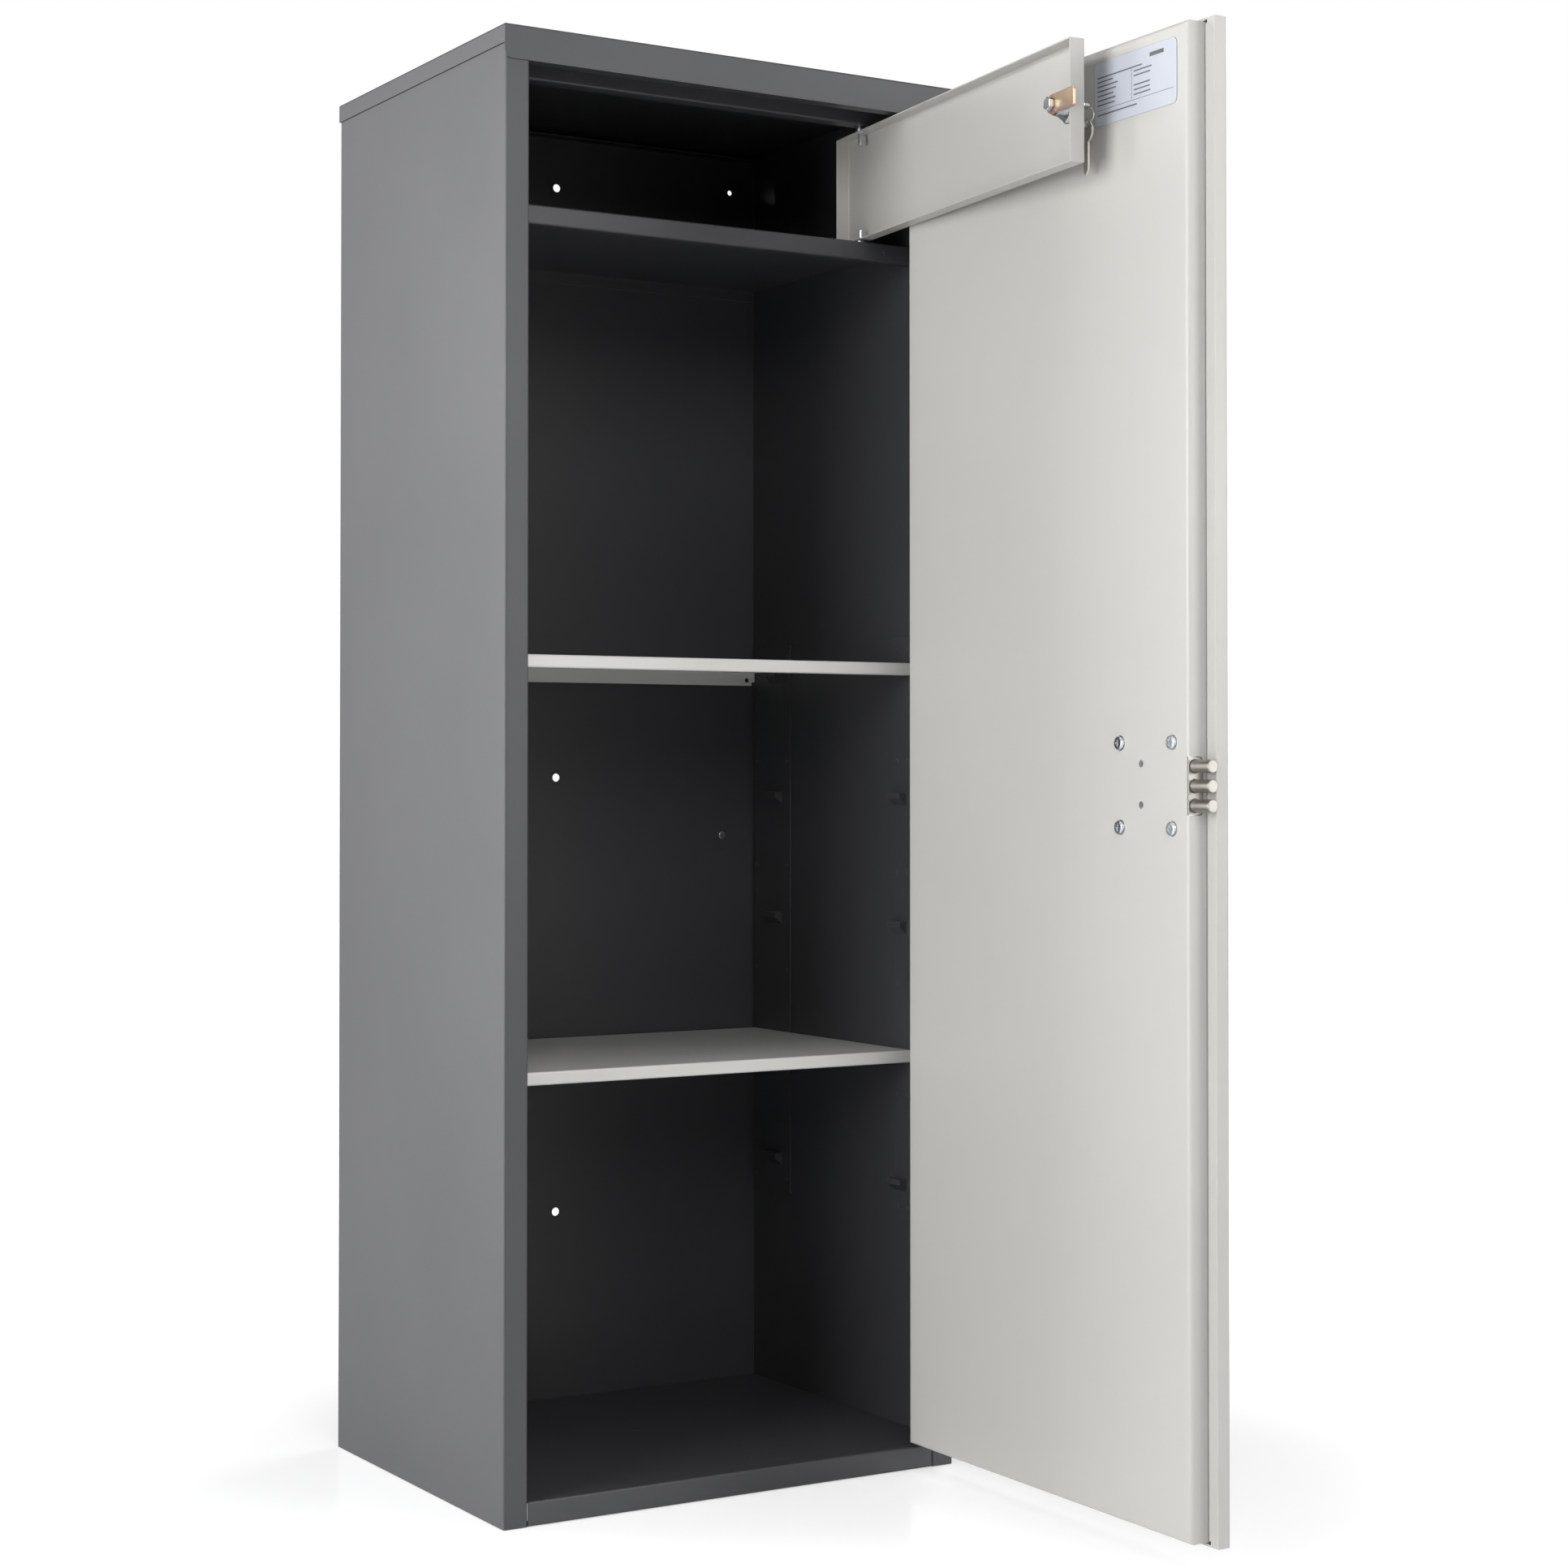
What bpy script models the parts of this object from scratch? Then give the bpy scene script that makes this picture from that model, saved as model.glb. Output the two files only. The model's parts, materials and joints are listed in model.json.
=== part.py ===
"""Steel security cabinet with an outer door, an inner treasury door and two loose shelves.

Every piece is drawn in the cabinet's corner frame: X from the left side, Y from the front
plane towards the back, Z up from the floor. The corner frame hangs on an empty that puts the
world origin under the centre of the base. Both doors are drawn shut and swung open by their
hinge empties. Sizes are in metres.
"""

import math

import bmesh
import bpy
from mathutils import Matrix, Vector

# Cabinet
WIDTH = 0.450
DEPTH = 0.350
HEIGHT = 1.250
BODY_SHEET = 0.0012
GAP = 0.0003
BEND = 0.0016

# Front frame
STILE_WIDTH = 0.022
STILE_RETURN = 0.0140
LOCK_STILE_RETURN = 0.0050
SILL_HEIGHT = 0.0204
HEADER_BOTTOM = 1.221
LID_SKIRT = 0.016
LID_PROUD = 0.0015
HEADER_RETURN = 0.0120
SHELL_TOP = HEIGHT - BODY_SHEET - GAP
CEILING = 1.2452
BACK_GAP = 0.00035
BACK_FACE = DEPTH - BODY_SHEET
RIVET_X = 0.4112
RIVET_HEIGHT = 0.5630

# Doors
DOOR_SHEET = 0.0010
DOOR_OPEN_DEG = 89.2
DOOR_AXIS = Vector((0.4230, -0.0050, 0.0))
SKIN_LEFT = 0.0125
SKIN_RIGHT = 0.4245
SKIN_BOTTOM = 0.0220
SKIN_TOP = 1.2195
SKIN_FRONT = -0.0130
SKIN_BACK = -0.0003
PAN_LEFT = 0.0245
PAN_BOTTOM = 0.0250
PAN_TOP = 1.2165
PAN_FACE = 0.0172
TREASURY_OPEN_DEG = 83.9
TREASURY_AXIS = Vector((0.3985, 0.0720, 0.0))
TREASURY_LEFT = 0.0170
TREASURY_RIGHT = 0.4400
TREASURY_BOTTOM = 1.1175
TREASURY_TOP = 1.2180
TREASURY_FRONT = 0.0625
TREASURY_DEPTH = 0.0140

# Inner fittings
TREASURY_SHELF_TOP = 1.1146
TREASURY_SHELF_FRONT = 0.0610
TREASURY_FLANGE = 0.0170
RAIL_FRONT = 0.0610
RAIL_BOTTOM = 1.2220
SHELF_SHEET = 0.0010
SHELF_FRONT = 0.0620
SHELF_BACK = 0.3450
SHELF_SIDE_CLEARANCE = 0.0032
SHELF_LIP = 0.0115
SHELF_REAR_LIP = 0.0140
LUG_TOP = 0.7262
LUG_PITCH = 0.1195
LUG_COUNT = 5
LUG_HEIGHT = 0.0120
LUG_WIDTH = 0.0210
LUG_REACH = 0.0080
RAIL_SHEET = 0.0012

# Main lock
LOCK_HEIGHT = 0.6155
BOLT_HEIGHT = 0.6151
BOLT_PITCH = 0.0155
BOLT_RADIUS = 0.0052
BOLT_DEPTH = 0.0106
BOLT_TIP = 0.0027
BOLT_TAIL = 0.0450
LOCK_SCREW_X = (0.0450, 0.1120)
LOCK_SCREW_DZ = 0.0340
LOCK_SCREW_RADIUS = 0.0020
PLUG_X = 0.0852
PLUG_HEIGHT = 0.6163
PLUG_RADIUS = 0.0080
CASE_LEFT = PAN_LEFT + 0.0024
CASE_RIGHT = 0.1250
CASE_BACK = PAN_FACE - DOOR_SHEET - GAP
CASE_SHEET = 0.0009
CASE_FRONT = -0.0060
CASE_HALF_HEIGHT = 0.0445

# Treasury lock and its keys
CAM_LOCK_X = 0.0400
CAM_LOCK_HEIGHT = 1.1680
CAM_PLUG_RADIUS = 0.0060
CAM_FRONT = 0.0779
CAM_THICKNESS = 0.0025
CAM_REACH = 0.0345
CAM_WIDTH = 0.0156
KEY_THICKNESS = 0.0020
KEY_BOW_FRONT = 0.0475
KEY_BOW_BACK = 0.0580
KEY_BOW_WIDTH = 0.0220
KEY_HOLE_Y = 0.0520
KEY_HOLE_RADIUS = 0.0028
RING_RADIUS = 0.0070
RING_WIRE = 0.0006
RING_Y = 0.0471
RING_DROP = 0.0046

# Hinges of the outer door
HINGE_HEIGHTS = (0.1500, 1.0900)
KNUCKLE_RADIUS = 0.0037
KNUCKLE_LENGTH = 0.0250
HINGE_PIN_RADIUS = 0.0018

# Facets of large and small round parts
ROUND = 32
SMALL_ROUND = 20

# Colours
GRAPHITE = (0.062, 0.064, 0.068, 1.0)
LIGHT_GREY = (0.60, 0.59, 0.56, 1.0)
ZINC = (0.62, 0.63, 0.65, 1.0)
CHROMATE = (0.62, 0.47, 0.24, 1.0)
NICKEL = (0.66, 0.64, 0.60, 1.0)
PAPER = (0.86, 0.88, 0.92, 1.0)

FINISHES = {
    "graphite_coat": (GRAPHITE, 0.45, 0.0),
    "grey_coat": (LIGHT_GREY, 0.40, 0.0),
    "zinc_plate": (ZINC, 0.32, 1.0),
    "yellow_chromate": (CHROMATE, 0.35, 1.0),
    "nickel": (NICKEL, 0.28, 1.0),
    "paper_label": (PAPER, 0.55, 0.0),
}


# ---------------------------------------------------------------- scene helpers


def clear_scene():
    """Remove whatever the file held before."""
    for obj in list(bpy.data.objects):
        bpy.data.objects.remove(obj)


def material(name, finish):
    """A material of the piece's own, from one of the named finishes."""
    colour, roughness, metallic = FINISHES[finish]
    made = bpy.data.materials.new(name + "_" + finish)
    made.use_nodes = True
    shader = made.node_tree.nodes["Principled BSDF"]
    shader.inputs["Base Color"].default_value = colour
    shader.inputs["Roughness"].default_value = roughness
    shader.inputs["Metallic"].default_value = metallic
    return made


def empty(name, location, parent=None, turn_deg=0.0):
    """An empty on a joint axis, drawn in the corner frame and turned about Z."""
    made = bpy.data.objects.new(name, None)
    bpy.context.collection.objects.link(made)
    made.location = location
    made.rotation_euler.z = math.radians(turn_deg)
    if parent is not None:
        made.parent = parent
        made.location = Vector(location) - corner_offset(parent)
    return made


def corner_offset(frame):
    """Where the empty stands in the corner frame, which is not moved itself."""
    offset = Vector((0.0, 0.0, 0.0))
    step = frame
    while step.parent is not None:
        offset += step.location
        step = step.parent
    return offset


def piece(name, mesh, finish, frame, smooth=None):
    """Link a mesh drawn in the corner frame to the frame or hinge empty it belongs to."""
    made = bpy.data.objects.new(name, mesh)
    bpy.context.collection.objects.link(made)
    made.parent = frame
    made.matrix_parent_inverse = Matrix.Translation(-corner_offset(frame))
    mesh.name = name
    mesh.materials.clear()
    mesh.materials.append(material(name, finish))
    if smooth is not None:
        mesh.shade_smooth()
        mesh.set_sharp_from_angle(angle=math.radians(smooth))
    return made


# ---------------------------------------------------------------- mesh helpers


def mesh_of(work):
    """Turn a bmesh into a mesh with its faces pointing out."""
    bmesh.ops.recalc_face_normals(work, faces=work.faces)
    made = bpy.data.meshes.new("mesh")
    work.to_mesh(made)
    work.free()
    return made


def box(low, high, rounded=None, radius=0.0, segments=3):
    """A box between two corners; rounded(edge) picks the edges that get a radius."""
    work = bmesh.new()
    size = Vector(high) - Vector(low)
    centre = (Vector(high) + Vector(low)) / 2
    placed = Matrix.Translation(centre) @ Matrix.Diagonal((*size, 1.0))
    bmesh.ops.create_cube(work, size=1.0, matrix=placed)
    if rounded is not None:
        edges = [edge for edge in work.edges if rounded(edge)]
        bmesh.ops.bevel(
            work, geom=edges, offset=radius, segments=segments, profile=0.5, affect="EDGES"
        )
    return mesh_of(work)


def edges_at(axis, value):
    """Picks the edges that lie whole in the plane where this axis has this value."""
    return lambda edge: all(abs(vert.co[axis] - value) < 1e-6 for vert in edge.verts)


def edges_along(axis, wanted):
    """Picks edges parallel to an axis whose middle passes the wanted(x, y, z) test."""

    def picked(edge):
        first, second = (vert.co for vert in edge.verts)
        across = [abs(first[i] - second[i]) < 1e-6 for i in range(3) if i != axis]
        return all(across) and wanted(*((first + second) / 2))

    return picked


def prism(points, axis, low, high):
    """Extrude an outline along an axis. The outline is in the other two axes, in X, Y, Z order."""
    work = bmesh.new()
    ring = []
    for first, second in points:
        place = [first, second]
        place.insert(axis, low)
        ring.append(work.verts.new(place))
    face = work.faces.new(ring)
    swept = bmesh.ops.extrude_face_region(work, geom=[face])
    moved = [item for item in swept["geom"] if isinstance(item, bmesh.types.BMVert)]
    shift = [0.0, 0.0, 0.0]
    shift[axis] = high - low
    bmesh.ops.translate(work, verts=moved, vec=shift)
    return mesh_of(work)


def arc(centre, radius, start_deg, end_deg, steps):
    """Points on an arc, ends included."""
    found = []
    for step in range(steps + 1):
        angle = math.radians(start_deg + (end_deg - start_deg) * step / steps)
        place = (centre[0] + radius * math.cos(angle), centre[1] + radius * math.sin(angle))
        found.append(place)
    return found


def sheet_outline(path, thickness, radius, steps=3):
    """Outline of a sheet folded along a path of its outer face, with the sheet on the left."""
    outer = []
    inner = []
    last = len(path) - 1
    for index, place in enumerate(path):
        here = Vector(place)
        before = (here - Vector(path[index - 1])).normalized() if index > 0 else None
        after = (Vector(path[index + 1]) - here).normalized() if index < last else None
        if before is None or after is None:
            along = after if before is None else before
            outer.append(tuple(here))
            inner.append(tuple(here + Vector((-along.y, along.x)) * thickness))
            continue
        left_turn = before.cross(after) > 0
        outer_radius = radius if left_turn else max(radius - thickness, 0.0002)
        inner_radius = max(radius - thickness, 0.0002) if left_turn else radius
        inset = Vector((-before.y, before.x)) + Vector((-after.y, after.x))
        corner = here + inset * thickness
        outer += fillet(here, before, after, outer_radius, steps)
        inner += fillet(corner, before, after, inner_radius, steps)
    return outer + inner[::-1]


def fillet(corner, before, after, radius, steps):
    """Points that round a square corner between two directions."""
    start = corner - before * radius
    centre = start + after * radius
    found = []
    for step in range(steps + 1):
        angle = math.pi / 2 * step / steps
        place = centre - after * radius * math.cos(angle) + before * radius * math.sin(angle)
        found.append(tuple(place))
    return found


def cylinder(centre, axis, radius, low, high, sides=ROUND, chamfer=0.0):
    """A round bar along an axis. centre is its place in the other two axes, in order."""
    work = bmesh.new()
    length = high - low
    bmesh.ops.create_cone(
        work, cap_ends=True, segments=sides, radius1=radius, radius2=radius, depth=length
    )
    if chamfer > 0:
        rims = [edge for edge in work.edges if abs(edge.verts[0].co.z - edge.verts[1].co.z) < 1e-9]
        bmesh.ops.bevel(work, geom=rims, offset=chamfer, segments=2, profile=0.5, affect="EDGES")
    turns = (Matrix.Rotation(math.pi / 2, 4, "Y"), Matrix.Rotation(-math.pi / 2, 4, "X"), Matrix())
    place = list(centre)
    place.insert(axis, (low + high) / 2)
    bmesh.ops.transform(work, matrix=Matrix.Translation(place) @ turns[axis], verts=work.verts)
    return mesh_of(work)


def combined(base, others, operation):
    """The exact Boolean of a mesh with each of the others, in turn."""
    holder = bpy.data.objects.new("holder", base)
    bpy.context.collection.objects.link(holder)
    helpers = []
    for other in others:
        helper = bpy.data.objects.new("helper", other)
        bpy.context.collection.objects.link(helper)
        helpers.append(helper)
        modifier = holder.modifiers.new("cut", "BOOLEAN")
        modifier.operation = operation
        modifier.solver = "EXACT"
        modifier.object = helper
    graph = bpy.context.evaluated_depsgraph_get()
    result = bpy.data.meshes.new_from_object(holder.evaluated_get(graph))
    for helper in [holder] + helpers:
        bpy.data.objects.remove(helper)
    return result


def cut(base, *cutters):
    """The base with every cutter's shape taken out."""
    return combined(base, cutters, "DIFFERENCE")


def joined(base, *others):
    """One body made of overlapping shapes."""
    return combined(base, others, "UNION")


def mirrored(mesh):
    """The same shape on the cabinet's other side."""
    work = bmesh.new()
    work.from_mesh(mesh)
    flip = Matrix.Translation((WIDTH, 0, 0)) @ Matrix.Diagonal((-1.0, 1.0, 1.0, 1.0))
    bmesh.ops.transform(work, matrix=flip, verts=work.verts)
    return mesh_of(work)


# ---------------------------------------------------------------- cabinet shell

def top_lid(frame):
    """Folded lid: top sheet, skirts, and a deep front header with a return under it."""
    low = -LID_PROUD
    right = WIDTH + LID_PROUD
    back = DEPTH + LID_PROUD
    skirt_bottom = HEIGHT - LID_SKIRT
    inner_low = low + BODY_SHEET
    outer = box((low, low, skirt_bottom), (right, back, HEIGHT), edges_at(2, HEIGHT), BEND)
    hollow = box(
        (inner_low, inner_low, skirt_bottom - GAP),
        (right - BODY_SHEET, back - BODY_SHEET, HEIGHT - BODY_SHEET),
    )
    tray = cut(outer, hollow)
    lower_corners = edges_along(1, lambda x, y, z: z < HEADER_BOTTOM + GAP)
    header = box(
        (low, low, HEADER_BOTTOM), (right, inner_low, HEIGHT - 0.003), lower_corners, 0.006
    )
    lip_left = STILE_WIDTH + 2 * GAP
    lip = box(
        (lip_left, low, HEADER_BOTTOM),
        (WIDTH - lip_left, HEADER_RETURN, HEADER_BOTTOM + BODY_SHEET),
        edges_along(0, lambda x, y, z: y < 0 and z < HEADER_BOTTOM + GAP),
        0.0010,
    )
    piece("top_lid", joined(tray, header, lip), "graphite_coat", frame)


def side_profile(stile_return):
    """Plan outline of the left side: side wall, stile, and the stile's return."""
    path = [(0.0, DEPTH), (0.0, 0.0), (STILE_WIDTH, 0.0), (STILE_WIDTH, stile_return)]
    return sheet_outline(path, BODY_SHEET, BEND)


def side_panels(frame):
    """Left and right side panels; the stile on the lock side has the shorter return."""
    left = prism(side_profile(LOCK_STILE_RETURN), 2, 0.0, SHELL_TOP)
    right = mirrored(prism(side_profile(STILE_RETURN), 2, 0.0, SHELL_TOP))
    piece("left_side_panel", left, "graphite_coat", frame)
    piece("right_side_panel", right, "graphite_coat", frame)


def back_panel(frame):
    """Back sheet with a short ceiling flange and the wall-fixing holes."""
    left = BODY_SHEET + BACK_GAP
    path = [(BACK_FACE - 0.013, CEILING), (BACK_FACE + BODY_SHEET, CEILING)]
    path.append((BACK_FACE + BODY_SHEET, GAP))
    outline = sheet_outline(path[::-1], BODY_SHEET, BEND)
    sheet = prism(outline, 0, left, WIDTH - left)
    holes = [(WIDTH / 2, height, 0.0040) for height in (0.200, 0.621, 1.196)]
    holes += [(x, 1.2115, 0.0026) for x in (0.0295, WIDTH - 0.0295)]
    holes += [(RIVET_X, RIVET_HEIGHT, 0.0023)]
    drills = [
        cylinder((x, z), 1, radius, BACK_FACE - 0.003, DEPTH + 0.003, SMALL_ROUND)
        for x, z, radius in holes
    ]
    piece("back_panel", cut(sheet, *drills), "graphite_coat", frame)


def back_rivet(frame):
    """Blind rivet that closes one hole of the back panel."""
    shank = cylinder(
        (RIVET_X, RIVET_HEIGHT), 1, 0.0019, BACK_FACE - 0.001, DEPTH + 0.0008, SMALL_ROUND
    )
    head = cylinder(
        (RIVET_X, RIVET_HEIGHT), 1, 0.0040, BACK_FACE - 0.0019, BACK_FACE - GAP, SMALL_ROUND, 0.0005
    )
    piece("back_rivet", joined(head, shank), "zinc_plate", frame, 40)


def floor_pan(frame):
    """Raised floor with a sill between the stiles and flanges that stand on the ground."""
    side = BODY_SHEET + 2 * GAP
    between = STILE_WIDTH + 2 * GAP
    behind = STILE_RETURN + 2 * GAP
    back = BACK_FACE - 2 * GAP
    under = SILL_HEIGHT - BODY_SHEET
    sill = [(0.014, 0.0), (0.0, 0.0), (0.0, SILL_HEIGHT), (back, SILL_HEIGHT)]
    sill += [(back, 0.0), (back - 0.014, 0.0)]
    floor = prism(sheet_outline(sill[::-1], BODY_SHEET, BEND), 0, side, WIDTH - side)
    corners = [
        box((low, -0.001, -0.001), (high, behind, SILL_HEIGHT + 0.001))
        for low, high in ((side - 0.001, between), (WIDTH - between, WIDTH - side + 0.001))
    ]
    slot = box((0.2200, 0.1820, under - 0.001), (0.2300, 0.1850, SILL_HEIGHT + 0.001))
    drains = [
        cylinder((x, y), 2, 0.0015, under - 0.001, SILL_HEIGHT + 0.001, SMALL_ROUND)
        for x, y in ((0.1815, 0.2674), (0.2602, 0.0435))
    ]
    piece("floor_pan", cut(floor, slot, *corners, *drains), "graphite_coat", frame)


def floor_stiffener(frame):
    """Hat channel under the floor, with its flat web on the ground."""
    half = 0.030
    foot = 0.012
    top = SILL_HEIGHT - BODY_SHEET - GAP
    middle = DEPTH / 2
    path = [
        (middle - half - foot, top - BODY_SHEET),
        (middle - half, top - BODY_SHEET),
        (middle - half, 0.0),
        (middle + half, 0.0),
        (middle + half, top - BODY_SHEET),
        (middle + half + foot, top - BODY_SHEET),
    ]
    outline = sheet_outline(path, BODY_SHEET, BEND)
    inset = 0.006
    mesh = prism(outline, 0, inset, WIDTH - inset)
    piece("floor_stiffener", mesh, "graphite_coat", frame)


# ---------------------------------------------------------------- inside the cabinet


def treasury_top_rail(frame):
    """Folded rail under the lid that closes the top of the treasury opening."""
    side = BODY_SHEET + 2 * GAP
    top = SHELL_TOP - GAP
    path = [
        (RAIL_FRONT + 0.010, top),
        (RAIL_FRONT, top),
        (RAIL_FRONT, RAIL_BOTTOM),
        (RAIL_FRONT + 0.0150, RAIL_BOTTOM),
    ]
    outline = sheet_outline(path, BODY_SHEET, BEND)
    piece("treasury_top_rail", prism(outline, 0, side, WIDTH - side), "graphite_coat", frame)


def treasury_shelf(frame):
    """Fixed floor of the treasury: sheet, front flange with a return, and a rear flange."""
    side = BODY_SHEET + 2 * GAP
    back = BACK_FACE - 2 * GAP
    bottom = TREASURY_SHELF_TOP - TREASURY_FLANGE
    path = [
        (TREASURY_SHELF_FRONT + 0.010, bottom),
        (TREASURY_SHELF_FRONT, bottom),
        (TREASURY_SHELF_FRONT, TREASURY_SHELF_TOP),
        (back, TREASURY_SHELF_TOP),
        (back, TREASURY_SHELF_TOP - 0.012),
    ]
    outline = sheet_outline(path[::-1], BODY_SHEET, BEND)
    piece("treasury_shelf", prism(outline, 0, side, WIDTH - side), "graphite_coat", frame)


def treasury_catch(frame):
    """Angle on the left wall that the treasury cam turns behind."""
    left = BODY_SHEET + GAP
    face = TREASURY_FRONT + TREASURY_DEPTH - 0.0003
    path = [(0.0150, face), (left, face), (left, face - 0.0160)]
    outline = sheet_outline(path, BODY_SHEET, BEND)
    mesh = prism(outline, 2, CAM_LOCK_HEIGHT - 0.028, CAM_LOCK_HEIGHT + 0.032)
    piece("treasury_catch", mesh, "graphite_coat", frame)


def treasury_pins(frame):
    """Pivot pins of the treasury door: one under the top rail, one on the shelf."""
    centre = TREASURY_AXIS.xy
    top = RAIL_BOTTOM - GAP
    upper = cylinder(centre, 2, 0.0020, top - 0.0155, top, SMALL_ROUND, 0.0004)
    collar = cylinder(centre, 2, 0.0045, TREASURY_TOP + GAP, top, 24, 0.0004)
    piece("treasury_pin_upper", joined(collar, upper), "zinc_plate", frame, 40)
    low = TREASURY_SHELF_TOP + GAP
    lower = cylinder(centre, 2, 0.0020, low, low + 0.0125, SMALL_ROUND, 0.0004)
    collar = cylinder(centre, 2, 0.0045, low, TREASURY_BOTTOM - GAP, 24, 0.0004)
    piece("treasury_pin_lower", joined(collar, lower), "zinc_plate", frame, 40)


def strike_plate(frame):
    """Plate behind the left stile with a hole for each bolt."""
    right = STILE_WIDTH - BODY_SHEET - GAP
    half = BOLT_PITCH + BOLT_RADIUS + 0.009
    plate = box(
        (right - 0.0015, BODY_SHEET + GAP, BOLT_HEIGHT - half),
        (right, 0.0210, BOLT_HEIGHT + half),
    )
    drills = [
        cylinder((BOLT_DEPTH, height), 0, BOLT_RADIUS + 0.0008, 0.015, 0.024)
        for height in bolt_heights()
    ]
    piece("strike_plate", cut(plate, *drills), "zinc_plate", frame)


def lug(wall, y_middle, top):
    """Pressed lug with a sloping underside, standing out from a shelf rail."""
    reach = wall + LUG_REACH
    outline = [
        (wall - RAIL_SHEET / 2, top),
        (reach, top),
        (reach, top - LUG_HEIGHT * 0.4),
        (wall - RAIL_SHEET / 2, top - LUG_HEIGHT),
    ]
    return prism(outline, 1, y_middle - LUG_WIDTH / 2, y_middle + LUG_WIDTH / 2)


def shelf_rails(frame):
    """Four rails with five lugs each, two on either side wall."""
    wall = BODY_SHEET + GAP
    bottom = LUG_TOP - LUG_HEIGHT / 2 - LUG_PITCH * (LUG_COUNT - 1) - 0.032
    top = LUG_TOP - LUG_HEIGHT / 2 + 0.032
    spans = {"front": (0.0620, 0.0910, 0.07975), "rear": (0.2760, 0.3460, 0.3025)}
    for row, (low, high, middle) in spans.items():
        strip = box((wall, low, bottom), (wall + RAIL_SHEET, high, top))
        face = wall + RAIL_SHEET
        lugs = [lug(face, middle, LUG_TOP - LUG_PITCH * step) for step in range(LUG_COUNT)]
        left = joined(strip, *lugs)
        piece(row + "_right_shelf_rail", mirrored(left), "graphite_coat", frame)
        piece(row + "_left_shelf_rail", left, "graphite_coat", frame)


def shelf(name, lug_step, frame):
    """Loose shelf resting on one row of lugs, with a front lip and a deeper rear lip."""
    top = LUG_TOP - LUG_PITCH * lug_step + GAP + SHELF_SHEET
    path = [
        (SHELF_FRONT + 0.006, top - SHELF_LIP),
        (SHELF_FRONT, top - SHELF_LIP),
        (SHELF_FRONT, top),
        (SHELF_BACK, top),
        (SHELF_BACK, top - SHELF_REAR_LIP),
    ]
    outline = sheet_outline(path[::-1], SHELF_SHEET, BEND)
    right = WIDTH - SHELF_SIDE_CLEARANCE
    sheet = prism(outline, 0, SHELF_SIDE_CLEARANCE, right)
    cutters = []
    for x in (SHELF_SIDE_CLEARANCE + 0.009, right - 0.009):
        cutters.append(
            cylinder((x, top - 0.0085), 1, 0.0024, SHELF_BACK - 0.003, SHELF_BACK + 0.002)
        )
    for low in (SHELF_SIDE_CLEARANCE - 0.001, right - 0.0035):
        high = low + 0.0045
        rear = box(
            (low, SHELF_BACK - 0.003, top - SHELF_REAR_LIP - 0.001),
            (high, SHELF_BACK + 0.001, top - 0.0105),
        )
        cutters.append(rear)
    piece(name, cut(sheet, *cutters), "grey_coat", frame)


# ---------------------------------------------------------------- outer door


def hinge_notches():
    """Room in the door's hinge edge for the knuckles and the fixed leaves."""
    half = KNUCKLE_LENGTH + 0.002
    inner = SKIN_FRONT + DOOR_SHEET
    return [
        box((SKIN_RIGHT - 0.0075, inner, height - half), (SKIN_RIGHT + 0.001, 0.001, height + half))
        for height in HINGE_HEIGHTS
    ]


def door_skin(hinge):
    """Outer face of the door: a shallow tray with narrow rear lips."""
    sheet = DOOR_SHEET
    front_edges = edges_at(1, SKIN_FRONT)
    outer = box(
        (SKIN_LEFT, SKIN_FRONT, SKIN_BOTTOM), (SKIN_RIGHT, SKIN_BACK, SKIN_TOP), front_edges, 0.002
    )
    hollow = box(
        (SKIN_LEFT + sheet, SKIN_FRONT + sheet, SKIN_BOTTOM + sheet),
        (SKIN_RIGHT - sheet, SKIN_BACK - sheet, SKIN_TOP - sheet),
    )
    lip_clear = 0.0009
    opening = box(
        (PAN_LEFT - lip_clear, SKIN_BACK - 2 * sheet, PAN_BOTTOM - lip_clear),
        (SKIN_RIGHT - 0.0035, 0.001, PAN_TOP + lip_clear),
    )
    relief = 0.0030
    corners = [
        box((PAN_LEFT - relief, SKIN_BACK - 2 * sheet, low), (PAN_LEFT, 0.001, low + relief))
        for low in (PAN_BOTTOM - relief / 2, PAN_TOP - relief / 2)
    ]
    keyway = cylinder((PLUG_X, PLUG_HEIGHT), 1, PLUG_RADIUS + 0.001, SKIN_FRONT - 0.001, -0.010)
    mesh = cut(outer, hollow, opening, keyway, *corners, *hinge_notches())
    piece("door_skin", mesh, "grey_coat", hinge)


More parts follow.
